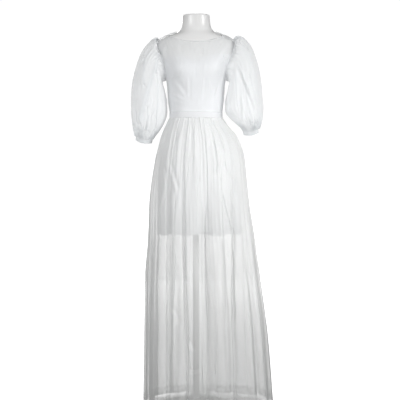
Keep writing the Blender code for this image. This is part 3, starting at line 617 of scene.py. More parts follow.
@dataclass
class DressForm:
    """A moulded, lacquered form with a flat-cut neck, on a pole that stands in a round base."""

    columns: int = 96
    rows: int = 120
    neck_edge: float = 0.0015
    base_radius: float = 0.145
    base_thickness: float = 0.010
    pole_radius: float = 0.0125
    cone_radius: float = 0.038
    flange_radius: float = 0.039
    hub_radius: float = 0.022
    hub_height: float = 0.045
    form_bottom: float = FORM_ROWS[0].z
    neck_top: float = FORM_ROWS[-1].z

    def build(self) -> None:
        """Makes the torso, the pole and the base."""
        WARDROBE.dress(self.torso(), LACQUER, ["form_torso"])
        WARDROBE.dress(self.pole(), ENAMEL, ["stand_pole"])
        WARDROBE.dress(self.base(), ENAMEL, ["stand_base"])

    def torso(self) -> Piece:
        """The skin over angle and height, its rings drawn in over small round edges to flat closed ends."""
        angle = np.linspace(-math.pi, math.pi, self.columns, endpoint=False)
        z = np.linspace(self.form_bottom + self.neck_edge, self.neck_top - self.neck_edge, self.rows)
        grid = BODY.point(*np.meshgrid(angle, z))
        ends = []
        for ring, side in ((grid[0], -1), (grid[-1], 1)):
            middle = ring.mean(0)
            out = unit(ring - middle)
            for lean in (math.pi / 4, math.pi / 2):
                place = ring - out * self.neck_edge * (1 - math.cos(lean))
                ends.append(place + [0, 0, side * self.neck_edge * math.sin(lean)])
            ends.extend([middle + (ends[-1] - middle) * size for size in (0.97, 0.5, 0.0)])
        grid = np.concatenate([ends[:5][::-1], grid, ends[5:]])
        grid[:3, :, 2], grid[-3:, :, 2] = self.form_bottom, self.neck_top
        return mesh_from("form_torso_lacquered", grid, quads(*grid.shape[:2], True), sharp=50, weld=True)

    def turned(self, name: str, profile: list[tuple[float, float]], steps: int = 72) -> Piece:
        """A profile of (radius, height) points turned about the vertical axis."""
        line, turn = np.array(profile), whole_turn(steps)
        x, y = line[:, :1] * np.cos(turn), line[:, :1] * np.sin(turn)
        grid = np.stack([x, y, np.broadcast_to(line[:, 1:], x.shape)], -1)
        return mesh_from(name, grid, quads(*grid.shape[:2], True), sharp=30, weld=True)

    def rounded(self, x: float, z: float, radius: float, start: int, end: int) -> list[tuple[float, float]]:
        """A round about a centre, from one angle to another in degrees."""
        turns = np.radians(np.linspace(start, end, 7))
        return [(x + radius * math.cos(t), z + radius * math.sin(t)) for t in turns]

    def base(self) -> Piece:
        """A flat plate with rounded edges, and a hub with a socket for the pole."""
        edge, soft, top = 0.003, 0.0015, self.base_thickness
        bore = self.pole_radius + 0.0004
        profile = [(0, 0)]
        profile += self.rounded(self.base_radius - edge, edge, edge, -90, 0)
        profile += self.rounded(self.base_radius - edge, top - edge, edge, 0, 90)
        profile += [(self.hub_radius, top)]
        profile += self.rounded(self.hub_radius - soft, self.hub_height - soft, soft, 0, 90)
        profile += [(bore, self.hub_height), (bore, top / 2), (0, top / 2)]
        return self.turned("stand_base_enamelled", profile)

    def pole(self) -> Piece:
        """A tube with a cone and a flange under the form."""
        top, bottom = self.form_bottom - 0.0003, self.base_thickness / 2 + 0.0003
        profile = [(0, bottom), (self.pole_radius, bottom)]
        profile += [(self.pole_radius, top - 0.012), (self.cone_radius, top - 0.0062)]
        profile += self.rounded(self.flange_radius, top - 0.005, 0.001, -60, 0)
        profile += self.rounded(self.flange_radius, top - 0.001, 0.001, 0, 90)
        return self.turned("stand_pole_enamelled", profile + [(0, top)])


# Sewing


@dataclass(frozen=True)
class Stitching:
    """Rows of short raised stitches: each is a thin six-sided spindle laid along the seam."""

    pitch: float = 0.0032
    length: float = 0.0022
    radius: float = 0.00018
    shape: tuple[tuple[float, float], ...] = ((-0.5, 0.0), (-0.4, 0.7), (0.0, 1.0), (0.4, 0.7), (0.5, 0.0))

    def along(self, name: str, path: Array, out: Array) -> Piece:
        """Stitches along a path.

        Args:
            name: the piece's name.
            path: closely spaced points on the cloth.
            out: the direction out of the cloth at each point.
        """
        run = np.concatenate([[0], np.cumsum(np.linalg.norm(np.diff(path, axis=0), axis=1))])
        places = np.arange(self.pitch / 2, run[-1] - self.pitch / 2, self.pitch)
        middle, ahead, normal = (
            np.stack([np.interp(at, run, curve[:, k]) for k in range(3)], 1)
            for at, curve in ((places, path), (places + 0.0005, path), (places, out))
        )
        along = unit(ahead - middle)
        ring = circles(unit(np.cross(along, normal)), normal, 6)
        rings = [
            middle[:, None] + (along * self.length * place)[:, None] + ring * self.radius * size
            + (normal * self.radius * 0.6)[:, None]
            for place, size in self.shape
        ]
        faces = quads(len(rings), 6, True)[None] + np.arange(len(places))[:, None, None] * len(rings) * 6
        made = mesh_from(name, np.stack(rings, 1), faces.reshape(-1, 4), sharp=80, weld=True)
        return WARDROBE.dress(made, THREAD)


STITCH = Stitching()


# The strapless lining


class EdgePoint(NamedTuple):
    """A point on an upper edge: degrees from the front, and height."""

    angle: float
    z: float


SWEETHEART = tuple(EdgePoint(*row) for row in (
    (-90, 1.298), (-74, 1.318), (-62, 1.352), (-50, 1.377), (-36, 1.384),
    (-18, 1.382), (0, 1.368), (18, 1.386), (36, 1.394), (50, 1.396),
    (58, 1.389), (66, 1.352), (76, 1.316), (90, 1.298),
))
BACK_EDGE = tuple(EdgePoint(*row) for row in (
    (90, 1.298), (120, 1.321), (180, 1.331), (240, 1.321), (270, 1.298),
))
ZIP_HALF_GAP = 0.0018


LINING_CREASES = (
    Crease((-30, 1300, -24, 1245, -22, 1190), 5.5, 1.1),
    Crease((30, 1300, 36, 1250, 34, 1200), 5, 1),
    Crease((-62, 1300, -52, 1260, -40, 1220), 5, 1.2),
    Crease((68, 1290, 60, 1240, 52, 1195), 5, 0.9),
    Crease((4, 1330, 6, 1300, 4, 1260), 4.5, 0.9),
)


@dataclass
class StraplessLining:
    """The opaque strapless bodice lining, a front and two backs, with a turned and stitched upper edge."""

    thickness: float = 0.0009
    rows: int = 60
    step: float = 2.0
    stitch_share: float = 0.965
    edge_sink: float = 0.0006

    def panel(self, place: str, low: float, high: float, edge: Sequence[EdgePoint], flat: tuple) -> None:
        """One panel between two angles in degrees, up to its shaped edge."""
        name = f"lining_bodice_{place}_satin"
        degrees = np.linspace(low, high, round((high - low) / self.step) + 1)
        share = np.linspace(0, 1, self.rows)[:, None]
        z = BAND_TOP + share * (column(edge, "z", degrees) - BAND_TOP)
        turned_in = self.edge_sink * smoothstep(0.975, 0.985, share) * smoothstep(1.0, 0.99, share)
        grid = creased(BODY.out(np.radians(degrees), z, BODY.lining_off(z) - turned_in), LINING_CREASES)
        for edge_column, side in ((0, 1), (-1, -1)):
            if abs(abs(degrees[edge_column]) - 180) < 1:
                grid[:, edge_column, 0] = side * -ZIP_HALF_GAP
        piece = shell_from(name, grid, self.thickness)
        WARDROBE.dress(piece, SATIN, [f"lining_bodice_{place}"])
        row = round(self.stitch_share * (self.rows - 1))
        seam = STITCH.along(f"{name}_edge_stitches", grid[row], grid_normals(grid, False)[row])

    def build(self) -> None:
        """Makes the three panels."""
        for place, low, high, edge, flat in (
            ("front", -90, 90, SWEETHEART, (0.40, 0.235)),
            ("back_left", 90, 180, BACK_EDGE, (0.175, 0.165)),
            ("back_right", 180, 270, BACK_EDGE, (0.175, 0.165)),
        ):
            self.panel(place, low, high, edge, flat)


# The sheer bodice


class BodiceRow(NamedTuple):
    """A row of the organza bodice: its number, and its heights at the front, the side and the back."""

    number: float
    front: float
    side: float
    back: float


BODICE_ROWS = tuple(BodiceRow(*row) for row in (
    (0, BAND_TOP, BAND_TOP, BAND_TOP),
    (1, 1.202, 1.202, 1.202),
    (2, 1.238, 1.238, 1.238),
    (3, 1.272, 1.272, 1.272),
    (4, 1.3, UNDERARM, 1.3),
    (5, 1.321, 1.3085, 1.321),
    (6, 1.3425, 1.329, 1.3445),
    (7, 1.362, 1.354, 1.3675),
    (8, 1.379, 1.38, 1.3895),
    (9, 1.3945, 1.406, 1.41),
    (10, 1.407, 1.431, 1.4275),
    (11, 1.4175, 1.4515, 1.441),
    (12, 1.4265, SHOULDER_TIP, 1.4515),
    (13, 1.433, 1.4715, 1.459),
    (14, 1.438, 1.48, 1.465),
    (15, 1.441, 1.4885, 1.47),
))


BODICE_CREASES = (
    Crease((-86, 1305, -55, 1262, -22, 1218), 7.5, 2.6),
    Crease((-100, 1256, -52, 1228, -10, 1204), 8, 2.1),
    Crease((-92, 1228, -58, 1212, -26, 1198), 6.5, 1.2),
    Crease((-24, 1310, -22, 1255, -26, 1205), 6, 2.4),
    Crease((38, 1315, 36, 1262, 30, 1205), 6, 2.4),
    Crease((60, 1300, 62, 1250, 56, 1195), 5, 1.8),
    Crease((106, 1395, 120, 1372, 126, 1348), 4, 3),
    Crease((92, 1300, 86, 1260, 74, 1215), 5.5, 2.2),
    Crease((18, 1424, 22, 1402, 18, 1380), 9.5, 2),
    Crease((-56, 1440, -60, 1415, -54, 1385), 9, 1.6),
    Crease((-110, 1440, -118, 1405, -112, 1360), 6, 2.2),
    Crease((82, 1300, 50, 1262, 26, 1222), 6, 2.6, back=True),
    Crease((-92, 1260, -50, 1222, -12, 1190), 6, 2.8, back=True),
    Crease((60, 1400, 64, 1350, 52, 1300), 7, 2.4, back=True),
    Crease((-70, 1410, -60, 1350, -64, 1290), 7, 2.2, back=True),
)


@dataclass
class OrganzaBodice:
    """The sheer bodice and yoke: a front and two backs, with narrow seams and a rolled neck binding."""

    rows: int = 130
    columns: int = 150
    binding_radius: float = 0.0011
    binding_gap: float = 0.0003
    stitches_below: float = 0.0030
    seam_width: float = 0.007
    layer_gap: float = 0.0004

    def grid(self, centre: float, reach: float, low: float, high: float, name: str) -> Array:
        """A panel over its share of a quarter turn, whose edge follows the armhole.

        The armhole cuts in by reach times sqrt(1 - h^2), where h runs from -1 at the underarm to 1 at the
        shoulder tip. Rows are level below the arm and rise from the middle to the side above it.

        Args:
            centre: the angle of the panel's middle line.
            reach: how far the armhole cuts in, as an angle.
            low: the first share of the quarter turn, from -1 to 1.
            high: the last one.
            name: the table's column for the middle line.
        """
        share = np.linspace(low, high, round(self.columns * (high - low) / 2) + 1)
        number = np.linspace(0, len(BODICE_ROWS) - 1, self.rows)[:, None]
        middle, side = column(BODICE_ROWS, name, number), column(BODICE_ROWS, "side", number)
        z = middle + (side - middle) * smoothstep(0.08, 1.0, np.abs(share))
        height = (z - UNDERARM - ARMHOLE_HALF) / ARMHOLE_HALF
        cut = np.sqrt(np.clip(1 - height**2, 0, 1))
        angle = centre + share * (math.pi / 2 - reach * cut)
        return BODY.out(angle, z, BODY.organza_off(z))

    def build(self) -> None:
        """Makes the panels, their seams and the binding."""
        rim = inside(self.rows, 0.06)
        grids = {}
        for name, centre, reach, low, high, middle, flat, area in (
            ("front", 0.0, ARMHOLE_FRONT, -1, 1, "front", (0.42, 0.29), 0.100),
            ("back_left", math.pi, ARMHOLE_BACK, -1, 0, "back", (0.20, 0.315), 0.054),
            ("back_right", math.pi, ARMHOLE_BACK, 0, 1, "back", (0.20, 0.315), 0.054),
        ):
            plain = self.grid(centre, reach, low, high, middle)
            grid = crumpled(creased(plain, BODICE_CREASES), 0.030, 0.0009, seed=len(name))
            side = inside(grid.shape[1], 0.05)
            grid = plain + (grid - plain) * rim[:, None, None] * side[None, :, None]
            if name != "front":
                edge, way = (-1, 1) if name == "back_left" else (0, -1)
                grid[:, edge, 0] = way * ZIP_HALF_GAP
            grids[name] = grid
            piece = sheet_from(f"bodice_{name}_organza", grid)
            WARDROBE.dress(piece, ORGANZA, [f"bodice_{name}"])
            seams = [self.seam(f"bodice_{name}_seam_{n}", grid, n) for n in (0, 1)]
        self.binding(grids)

    def seam(self, name: str, grid: Array, end: int) -> Piece:
        """A narrow felled allowance inside a panel's edge, seen through the organza as a denser band."""
        step = np.linalg.norm(grid[:, 1] - grid[:, 0], axis=1).mean()
        span = max(3, round(self.seam_width / step)) + 1
        pick = slice(-span, None) if end else slice(span)
        strip = grid[:, pick] - grid_normals(grid, False)[:, pick] * self.layer_gap
        return WARDROBE.dress(sheet_from(name, strip), ORGANZA_DOUBLED)

    def binding(self, grids: dict[str, Array]) -> None:
        """A rolled binding round the neckline, open at the zip, with a line of stitches under it."""
        route, under, out = [], [], []
        for name in ("back_right", "front", "back_left"):
            grid = grids[name]
            normal = grid_normals(grid, False)[-1]
            up = unit(np.cross(normal, np.gradient(grid[-1], axis=0)))
            keep = slice(0 if name == "back_right" else 1, None)
            route.append((grid[-1] + up * (self.binding_radius + self.binding_gap))[keep])
            under.append((grid[-1] - up * self.stitches_below + normal * 0.0002)[keep])
            out.append(normal[keep])
        made = tube_from("neck_binding_rolled", np.concatenate(route), self.binding_radius)
        WARDROBE.dress(made, ORGANZA_DOUBLED, ["neck_binding"])
        STITCH.along("neck_stitches", np.concatenate(under), np.concatenate(out))


@dataclass
class Waistband:
    """A narrow band round the waist, stitched along both edges and open at the zip."""

    thickness: float = 0.0022
    crown: float = 0.0005
    pucker: float = 0.0002
    puckers: int = 130

    def build(self) -> None:
        """Makes the band, softly crowned, and its two rows of stitches."""
        angle = np.linspace(-math.pi, math.pi, 361)
        angle, z = np.meshgrid(angle, np.linspace(BAND_BOTTOM + 0.0002, BAND_TOP - 0.0002, 13))
        edge = 2 * ((z - BAND_BOTTOM) / (BAND_TOP - BAND_BOTTOM)) - 1
        crown = self.crown * (1 - edge**4)
        pucker = self.pucker * np.sin(angle * self.puckers + 2 * np.sin(angle * 7)) * edge**2
        grid = BODY.out(angle, z, BAND_OFF - self.crown + crown + pucker)
        grid[:, 0, 0], grid[:, -1, 0] = -ZIP_HALF_GAP, ZIP_HALF_GAP
        band = shell_from("waistband_cloth", grid, self.thickness)
        WARDROBE.dress(band, BAND, ["waistband"])
        normal = grid_normals(grid, False)
        sewn = [
            STITCH.along(f"waistband_stitches_{name}", grid[row], normal[row])
            for name, row in (("low", 1), ("high", -2))
        ]


# Skirts


def panel_columns(columns: int) -> dict[str, list[int]]:
    """The columns of a closed grid's front and two backs, which share the columns at their seams."""
    half, back = columns // 2, columns * 3 // 4
    spans = {"front": (0, half), "back_left": (half, back), "back_right": (back, columns)}
    return {name: [j % columns for j in range(low, high + 1)] for name, (low, high) in spans.items()}


def reaches(rows: Sequence[NamedTuple], angle: Array, z: Array) -> tuple[Array, Array]:
    """How far a skirt reaches sideways and along, each on the side to which the angle points."""
    right, left, front, back = (column(rows, name, z) for name in ("right", "left", "front", "back"))
    return np.where(np.sin(angle) > 0, left, right), np.where(np.cos(angle) > 0, front, back)


class SkirtRow(NamedTuple):
    """A ring of the skirt: height, reach to the right, left, front and back, gather depth, fold share."""

    z: float
    right: float
    left: float
    front: float
    back: float
    gather: float
    fold: float


SKIRT_ROWS = tuple(SkirtRow(*row) for row in (
    (0.018, 0.216, 0.312, 0.222, 0.238, 0, 1),
    (0.33, 0.212, 0.287, 0.208, 0.221, 0.0003, 0.9),
    (0.52, 0.207, 0.259, 0.194, 0.206, 0.0006, 0.72),
    (0.67, 0.195, 0.236, 0.18, 0.191, 0.0011, 0.46),
    (0.81, 0.188, 0.213, 0.167, 0.176, 0.0018, 0.3),
    (0.92, 0.174, 0.202, 0.152, 0.161, 0.0028, 0.2),
    (0.996, 0.16, 0.193, 0.138, 0.145, 0.0036, 0.14),
    (1.012, 0.156, 0.189, 0.134, 0.141, 0.0038, 0.13),
    (1.075, 0.138, 0.162, 0.117, 0.121, 0.0038, 0.07),
    (1.12, 0.1185, 0.124, 0.099, 0.097, 0.0024, 0),
    (1.1457, 0.1078, 0.1078, 0.0868, 0.0826, 0.0008, 0),
))


class Fold(NamedTuple):
    """A fold that falls in: degrees at waist and hem, half width, depth, lean to the left, and pinch."""

    waist: float
    hem: float
    half_width: float
    depth: float
    lean: float
    pinch: float = 0.35
    top: float = 1.2


SKIRT_FOLDS = tuple(Fold(*row) for row in (
    (-84, -86, 6, 0.022, 0.004, 0.3), (-61, -63, 4.6, 0.036, 0.006, 0.35),
    (-34, -31, 6, 0.024, -0.004, 0.6), (-17, -11, 3.8, 0.03, 0.004, 0.5),
    (11, 8, 7.6, 0.062, 0.004, 0.3), (46, 31, 3.8, 0.028, -0.004, 0.5),
    (66, 51, 6, 0.024, 0.006, 0.3), (84, 74, 5.5, 0.02, -0.004, 0.1),
    (106, 97, 6, 0.022, 0.004, 0.1), (126, 122, 5.5, 0.042, -0.008),
    (148, 146, 6, 0.052, 0.008), (169, 167, 5.5, 0.04, -0.006),
    (193, 194, 5.5, 0.046, 0.006), (214, 217, 6, 0.05, -0.008),
    (236, 239, 5.5, 0.044, 0.008), (256, 257, 5.5, 0.034, -0.004, 0.2),
    (-48, -45, 2.4, 0.01, 0.003, 0.2, 0.62), (-24, -20, 2.2, 0.012, -0.003, 0.2, 0.8),
    (0, 1, 2, 0.003, 0.002, 0.2, 0.55), (26, 22, 2.2, 0.008, 0.003, 0.2, 0.7),
    (56, 42, 2.4, 0.011, -0.002, 0.2, 0.78), (-72, -72, 2.4, 0.012, 0.002, 0.2, 0.74),
    (76, 63, 2.4, 0.008, 0.003, 0.1, 0.6), (95, 86, 2.4, 0.006, -0.002, 0.1, 0.72),
    (116, 110, 2.4, 0.013, 0.003, 0.2, 0.66), (137, 134, 2.4, 0.012, -0.003, 0.2, 0.8),
    (158, 156, 2.4, 0.012, 0.003, 0.2, 0.58), (181, 181, 2.2, 0.01, 0.002, 0.2, 0.62),
    (204, 205, 2.4, 0.013, 0.003, 0.2, 0.76), (225, 228, 2.4, 0.012, -0.003, 0.2, 0.64),
    (246, 248, 2.4, 0.012, 0.003, 0.2, 0.72), (266, 266, 2.2, 0.01, 0.002, 0.2, 0.56),
))


SKIRT_CREASES = (
    Crease((46, 640, 50, 450, 60, 260, 64, 50), 20, 18, fade=(0.35, 0.05)),
    Crease((-80, 880, -82, 640, -80, 403), 6, 6, tuck=13.5),
    Crease((-138, 900, -146, 700, -150, 450), 6, 6, tuck=13.5),
    Crease((-44, 800, -40, 600, -42, 400, -44, 180), 6, 6, tuck=13.5),
    Crease((32, 880, 36, 724, 38, 500, 42, 300, 48, 100), 7.5, 8, tuck=17),
    Crease((140, 900, 144, 700, 148, 450, 150, 200), 6, 6, tuck=13.5),
    Crease((96, 960, 100, 820, 106, 640), 5.5, 5, tuck=11),
    Crease((-90, 800, -94, 560, -92, 300), 6, 6, back=True, tuck=13),
    Crease((20, 860, 26, 600, 24, 340), 6, 6, back=True, tuck=13),
    Crease((110, 760, 120, 500, 126, 240), 6, 6, back=True, tuck=13),
    Crease((-32, 182, -10, 170, 18, 176), 7, 5),
    Crease((-30, 300, -12, 262, 4, 240), 8, 4.5),
    Crease((-100, 420, -70, 385, -58, 330), 8, 4.5),
    Crease((70, 120, 90, 100, 110, 118), 8, 5),
    Crease((140, 460, 150, 400, 148, 340), 8, 3.5),
    Crease((-100, 980, -78, 900, -60, 840), 6.5, 4),
    Crease((-22, 1040, -30, 950, -38, 881, -49, 690), 6, 4.2, tuck=9),
    Crease((30, 1090, 41, 980, 44, 860, 43, 690), 5.5, 4, tuck=8.5),
    Crease((86, 930, 110, 830, 136, 700, 152, 590), 5.5, 4.2, tuck=10),
    Crease((-66, 1100, -80, 1030, -90, 960), 5, 3.6, tuck=7),
    Crease((-10, 1110, -4, 1040, -12, 960), 4.5, 3.4, tuck=6.5),
    Crease((62, 1080, 76, 1020, 84, 960, 70, 900), 5, 3.6, tuck=7),
    Crease((104, 1040, 118, 990, 112, 940), 5, 3.4, tuck=6.5),
    Crease((-120, 960, -112, 880, -124, 800), 6, 4, tuck=8),
    Crease((16, 940, 8, 880, 14, 800), 6, 3.4),
    Crease((130, 960, 146, 900, 150, 820), 6.5, 3.6),
    Crease((80, 300, 60, 250, 64, 200), 9, 4.5, back=True),
    Crease((-100, 880, -78, 800, -60, 740), 9, 4, back=True),
    Crease((30, 520, 46, 450, 40, 380), 9, 4, back=True),
    Crease((-130, 260, -100, 220, -110, 170), 9, 4.5, back=True),
)


@dataclass
class OrganzaSkirt:
    """The full-length gathered skirt: a front and two backs, with a deep turned-up hem."""

    columns: int = 720
    rows: int = 170
    gathers: int = 26
    middling_gathers: int = 57
    middling_gather: float = 0.0019
    fine_gathers: int = 88
    fine_gather: float = 0.0012
    layer_gap: float = 0.0009
    hem_depth: float = 0.026
    hem_lift: float = 0.30
    front_lift: float = 0.014
    back_drop: float = 0.013
    arches: tuple[tuple[float, float, float], ...] = ((-10.5, 5, 0.017), (31, 4, 0.012), (122, 6, 0.012))

    def heights(self) -> Array:
        """The rows' heights before the hem is lifted, denser towards the waist by 1 - (1 - t)^1.25."""
        top, bottom = SKIRT_ROWS[-1].z, SKIRT_ROWS[0].z
        return bottom + (top - bottom) * (1 - (1 - np.linspace(0, 1, self.rows)) ** 1.25)

    def surface(self) -> Array:
        """Every point of the skirt.

        A ring at height z is an ellipse with its own reach each way. It moves in by the sum of the folds,
        d exp(-(o/w)^2) at o from each fold's line. Near a fold the cloth also closes over it by
        pinch o b (1 - b) with b the bell, so that its mouth is narrower than its floor. The hem rises over
        each fold by a share of its depth, and by the arches.
        """
        bottom, z = SKIRT_ROWS[0].z, self.heights()
        angle, z = np.meshgrid(whole_turn(self.columns, -math.pi / 2), z)
        depth = column(SKIRT_ROWS, "fold", z) * (1 - 0.62 * smoothstep(0.76, 1.02, z))
        turned = 1 - smoothstep(0.30, 1.00, z)
        inward, lean, swing = np.zeros_like(z), np.zeros_like(z), np.zeros_like(z)
        for fold in SKIRT_FOLDS:
            wander = 0.9 * np.sin(5.1 * z + fold.hem) + 0.5 * np.sin(11.3 * z + 2 * fold.hem)
            middle = fold.waist + (fold.hem - fold.waist) * turned + wander * (1 - turned * 0.4) * 0.8
            off = wrapped(angle - np.radians(middle))
            here = bell(off / math.radians(fold.half_width))
            here = here * (1 - smoothstep(fold.top - 0.15, fold.top, z))
            inward += fold.depth * here
            lean += fold.lean * here
            swing -= 4 * fold.pinch * off * here * (1 - here)
        swung = angle + swing * np.sqrt(depth)
        wide, deep = reaches(SKIRT_ROWS, swung, z)
        full = 1 + CORNER_FULLNESS * np.sin(2 * swung) ** 2
        ring = np.stack([np.sin(swung), -np.cos(swung), np.zeros_like(z)], -1)
        out = unit(ring * np.stack([deep, wide, full], -1))
        side = np.stack([-out[..., 1], out[..., 0], np.zeros_like(z)], -1)
        ahead = np.cos(angle)
        lift = self.front_lift * smoothstep(-0.2, 0.9, ahead)
        lift = lift - self.back_drop * smoothstep(0.2, -0.8, ahead)
        for middle, half_width, rise in self.arches:
            lift += rise * bell(wrapped(angle - math.radians(middle)) / math.radians(half_width))
        height = z + self.hem_lift * depth * inward * smoothstep(0.50, bottom, z)
        height = height + lift * smoothstep(0.36, bottom, z)
        place = np.stack([wide * ring[..., 0] * full, deep * ring[..., 1] * full, height], -1)
        outward = self.gathered(angle, z) - depth * inward
        return place + out * outward[..., None] + side * (depth * lean)[..., None]

    def gathered(self, angle: Array, z: Array) -> Array:
        """Three sets of waist gathers: the table's, middling and fine ones, each an uneven cosine."""
        uneven = 1 + 0.35 * np.sin(3 * angle + 1.0) + 0.25 * np.sin(7 * angle)
        phase = 0.5 * np.sin(5 * angle) + 0.35 * np.sin(11 * angle + 1.3) * smoothstep(0.7, 1.1, z)
        waves = 0.45 * column(SKIRT_ROWS, "gather", z) * uneven * np.cos(self.gathers * angle + phase)
        calm = 1 - 0.6 * smoothstep(1.125, 1.1457, z)
        middling = calm * (0.55 + 0.45 * np.sin(5 * angle + 2 + 9 * z)) * smoothstep(0.84, 1.08, z)
        phase = self.middling_gathers * angle + 2.6 * np.sin(7 * angle + 3 * z)
        waves += self.middling_gather * middling * np.cos(phase)
        fine = calm * smoothstep(0.98, 1.12, z)
        phase = self.fine_gathers * angle + 2.2 * np.sin(9 * angle) + 9 * z
        return waves + self.fine_gather * fine * np.cos(phase)

    def build(self) -> None:
        """Makes the three panels, their hems, their side seams and the hem stitches."""
        grid = crumpled(self.surface(), 0.020, 0.0016, seed=4, closed=True, stretch=7)
        grid = crumpled(creased(grid, SKIRT_CREASES, True), 0.045, 0.0022, seed=11, closed=True, stretch=5)
        rows = int((self.heights() < self.hem_depth + SKIRT_ROWS[0].z).sum()) + 1
        normal = grid_normals(grid, True)
        inner = grid - normal * self.layer_gap
        for name, pick in panel_columns(self.columns).items():
            piece = sheet_from(f"skirt_{name}_organza", grid[:, pick])
            WARDROBE.dress(piece, SKIRT_ORGANZA, [f"skirt_{name}"])
            hem = sheet_from(f"skirt_{name}_hem", inner[:rows, pick])
            WARDROBE.dress(hem, SKIRT_HEM)
            seam = sheet_from(f"skirt_{name}_seam", inner[:, pick[:3]])
            WARDROBE.dress(seam, ORGANZA_DOUBLED)
            sewn = STITCH.along(f"skirt_{name}_hem_stitches", grid[rows - 1, pick], normal[rows - 1, pick])


class LiningRow(NamedTuple):
    """A ring of the lining skirt: height, and reach to the right, left, front and back."""

    z: float
    right: float
    left: float
    front: float
    back: float


LINING_ROWS = tuple(LiningRow(*row) for row in (
    (0.686, 0.156, 0.184, 0.141, 0.152),
    (0.8, 0.154, 0.178, 0.134, 0.146),
    (0.9, 0.152, 0.168, 0.124, 0.137),
    (0.985, 0.145, 0.154, 0.113, 0.125),
    (1.06, 0.13, 0.134, 0.102, 0.106),
    (1.11, 0.1135, 0.1145, 0.091, 0.0895),
    (1.1457, 0.1052, 0.1052, 0.0838, 0.0796),
))


LINING_SKIRT_CREASES = (
    Crease((-60, 1060, -66, 940, -70, 800), 10, 3),
    Crease((30, 1050, 34, 930, 36, 780), 10, 3),
    Crease((90, 1020, 104, 900, 110, 780), 10, 2.8),
    Crease((60, 1040, 70, 920, 74, 790), 11, 3, back=True),
    Crease((-50, 1050, -56, 920, -60, 780), 11, 3, back=True),
)


@dataclass
class LiningSkirt:
    """The opaque short skirt, cut with a slight flare and a narrow stitched hem."""

    columns: int = 320
    rows: int = 60
    waves: int = 9
    wave_share: float = 0.027
    hem_wave: float = 0.0035
    thickness: float = 0.0007

    def surface(self) -> Array:
        """An ellipse with its own reach each way, drawn in by nine shallow waves that grow downwards."""
        bottom = LINING_ROWS[0].z
        z = np.linspace(bottom, LINING_ROWS[-1].z, self.rows)
        angle, z = np.meshgrid(whole_turn(self.columns, -math.pi / 2), z)
        wide, deep = reaches(LINING_ROWS, angle, z)
        down = 1 - smoothstep(bottom, 1.05, z)
        waves = (1 - np.cos(self.waves * angle + 0.5 * np.sin(2 * angle))) / 2
        full = 1 + CORNER_FULLNESS * np.sin(2 * angle) ** 2 - self.wave_share * down * waves
        hem = self.hem_wave * np.sin(self.waves * angle + 0.6) * smoothstep(0.80, bottom, z)
        return np.stack([wide * np.sin(angle) * full, -deep * np.cos(angle) * full, z + hem], -1)

    def build(self) -> None:
        """Makes the three panels and their hem stitches."""
        grid = creased(self.surface(), LINING_SKIRT_CREASES, True)
        for name, pick in panel_columns(self.columns).items():
            panel = grid[:, pick]
            piece = shell_from(f"lining_skirt_{name}_satin", panel, self.thickness)
            WARDROBE.dress(piece, SATIN, [f"lining_skirt_{name}"])
            sewn = STITCH.along(f"lining_skirt_{name}_stitches", panel[4], grid_normals(panel, False)[4])


# Sleeves


class SleeveRow(NamedTuple):
    """A ring of a sleeve: x and z of its outer and inner edge, half depth, and y of its middle."""

    outer_x: float
    outer_z: float
    inner_x: float
    inner_z: float
    half_depth: float
    y: float


RIGHT_SLEEVE = tuple(SleeveRow(*row) for row in (
    (0.162, 1.4635, 0.133, 1.291, 0.07, -0.006),
    (0.184, 1.4505, 0.131, 1.279, 0.078, -0.006),
    (0.215, 1.413, 0.124, 1.256, 0.085, -0.005),
    (0.239, 1.346, 0.1165, 1.222, 0.088, -0.003),
    (0.251, 1.288, 0.1145, 1.194, 0.088, -0.003),
    (0.256, 1.228, 0.115, 1.164, 0.086, -0.003),
    (0.256, 1.17, 0.124, 1.134, 0.08, -0.003),
    (0.251, 1.122, 0.141, 1.104, 0.07, -0.003),
    (0.244, 1.09, 0.162, 1.079, 0.054, -0.003),
    (0.238, 1.074, 0.174, 1.062, 0.04, -0.003),
))
LEFT_SLEEVE = tuple(SleeveRow(*row) for row in (
    (0.168, 1.471, 0.133, 1.291, 0.07, -0.006),
    (0.193, 1.463, 0.131, 1.28, 0.079, -0.006),
    (0.225, 1.423, 0.125, 1.258, 0.086, -0.005),
    (0.247, 1.354, 0.118, 1.226, 0.089, -0.003),
    (0.256, 1.298, 0.1155, 1.2, 0.089, -0.003),
    (0.262, 1.24, 0.118, 1.172, 0.087, -0.003),
    (0.267, 1.19, 0.134, 1.15, 0.081, -0.003),
    (0.264, 1.15, 0.156, 1.13, 0.07, -0.003),
    (0.256, 1.122, 0.178, 1.112, 0.054, -0.003),
    (0.248, 1.104, 0.188, 1.096, 0.04, -0.003),
))


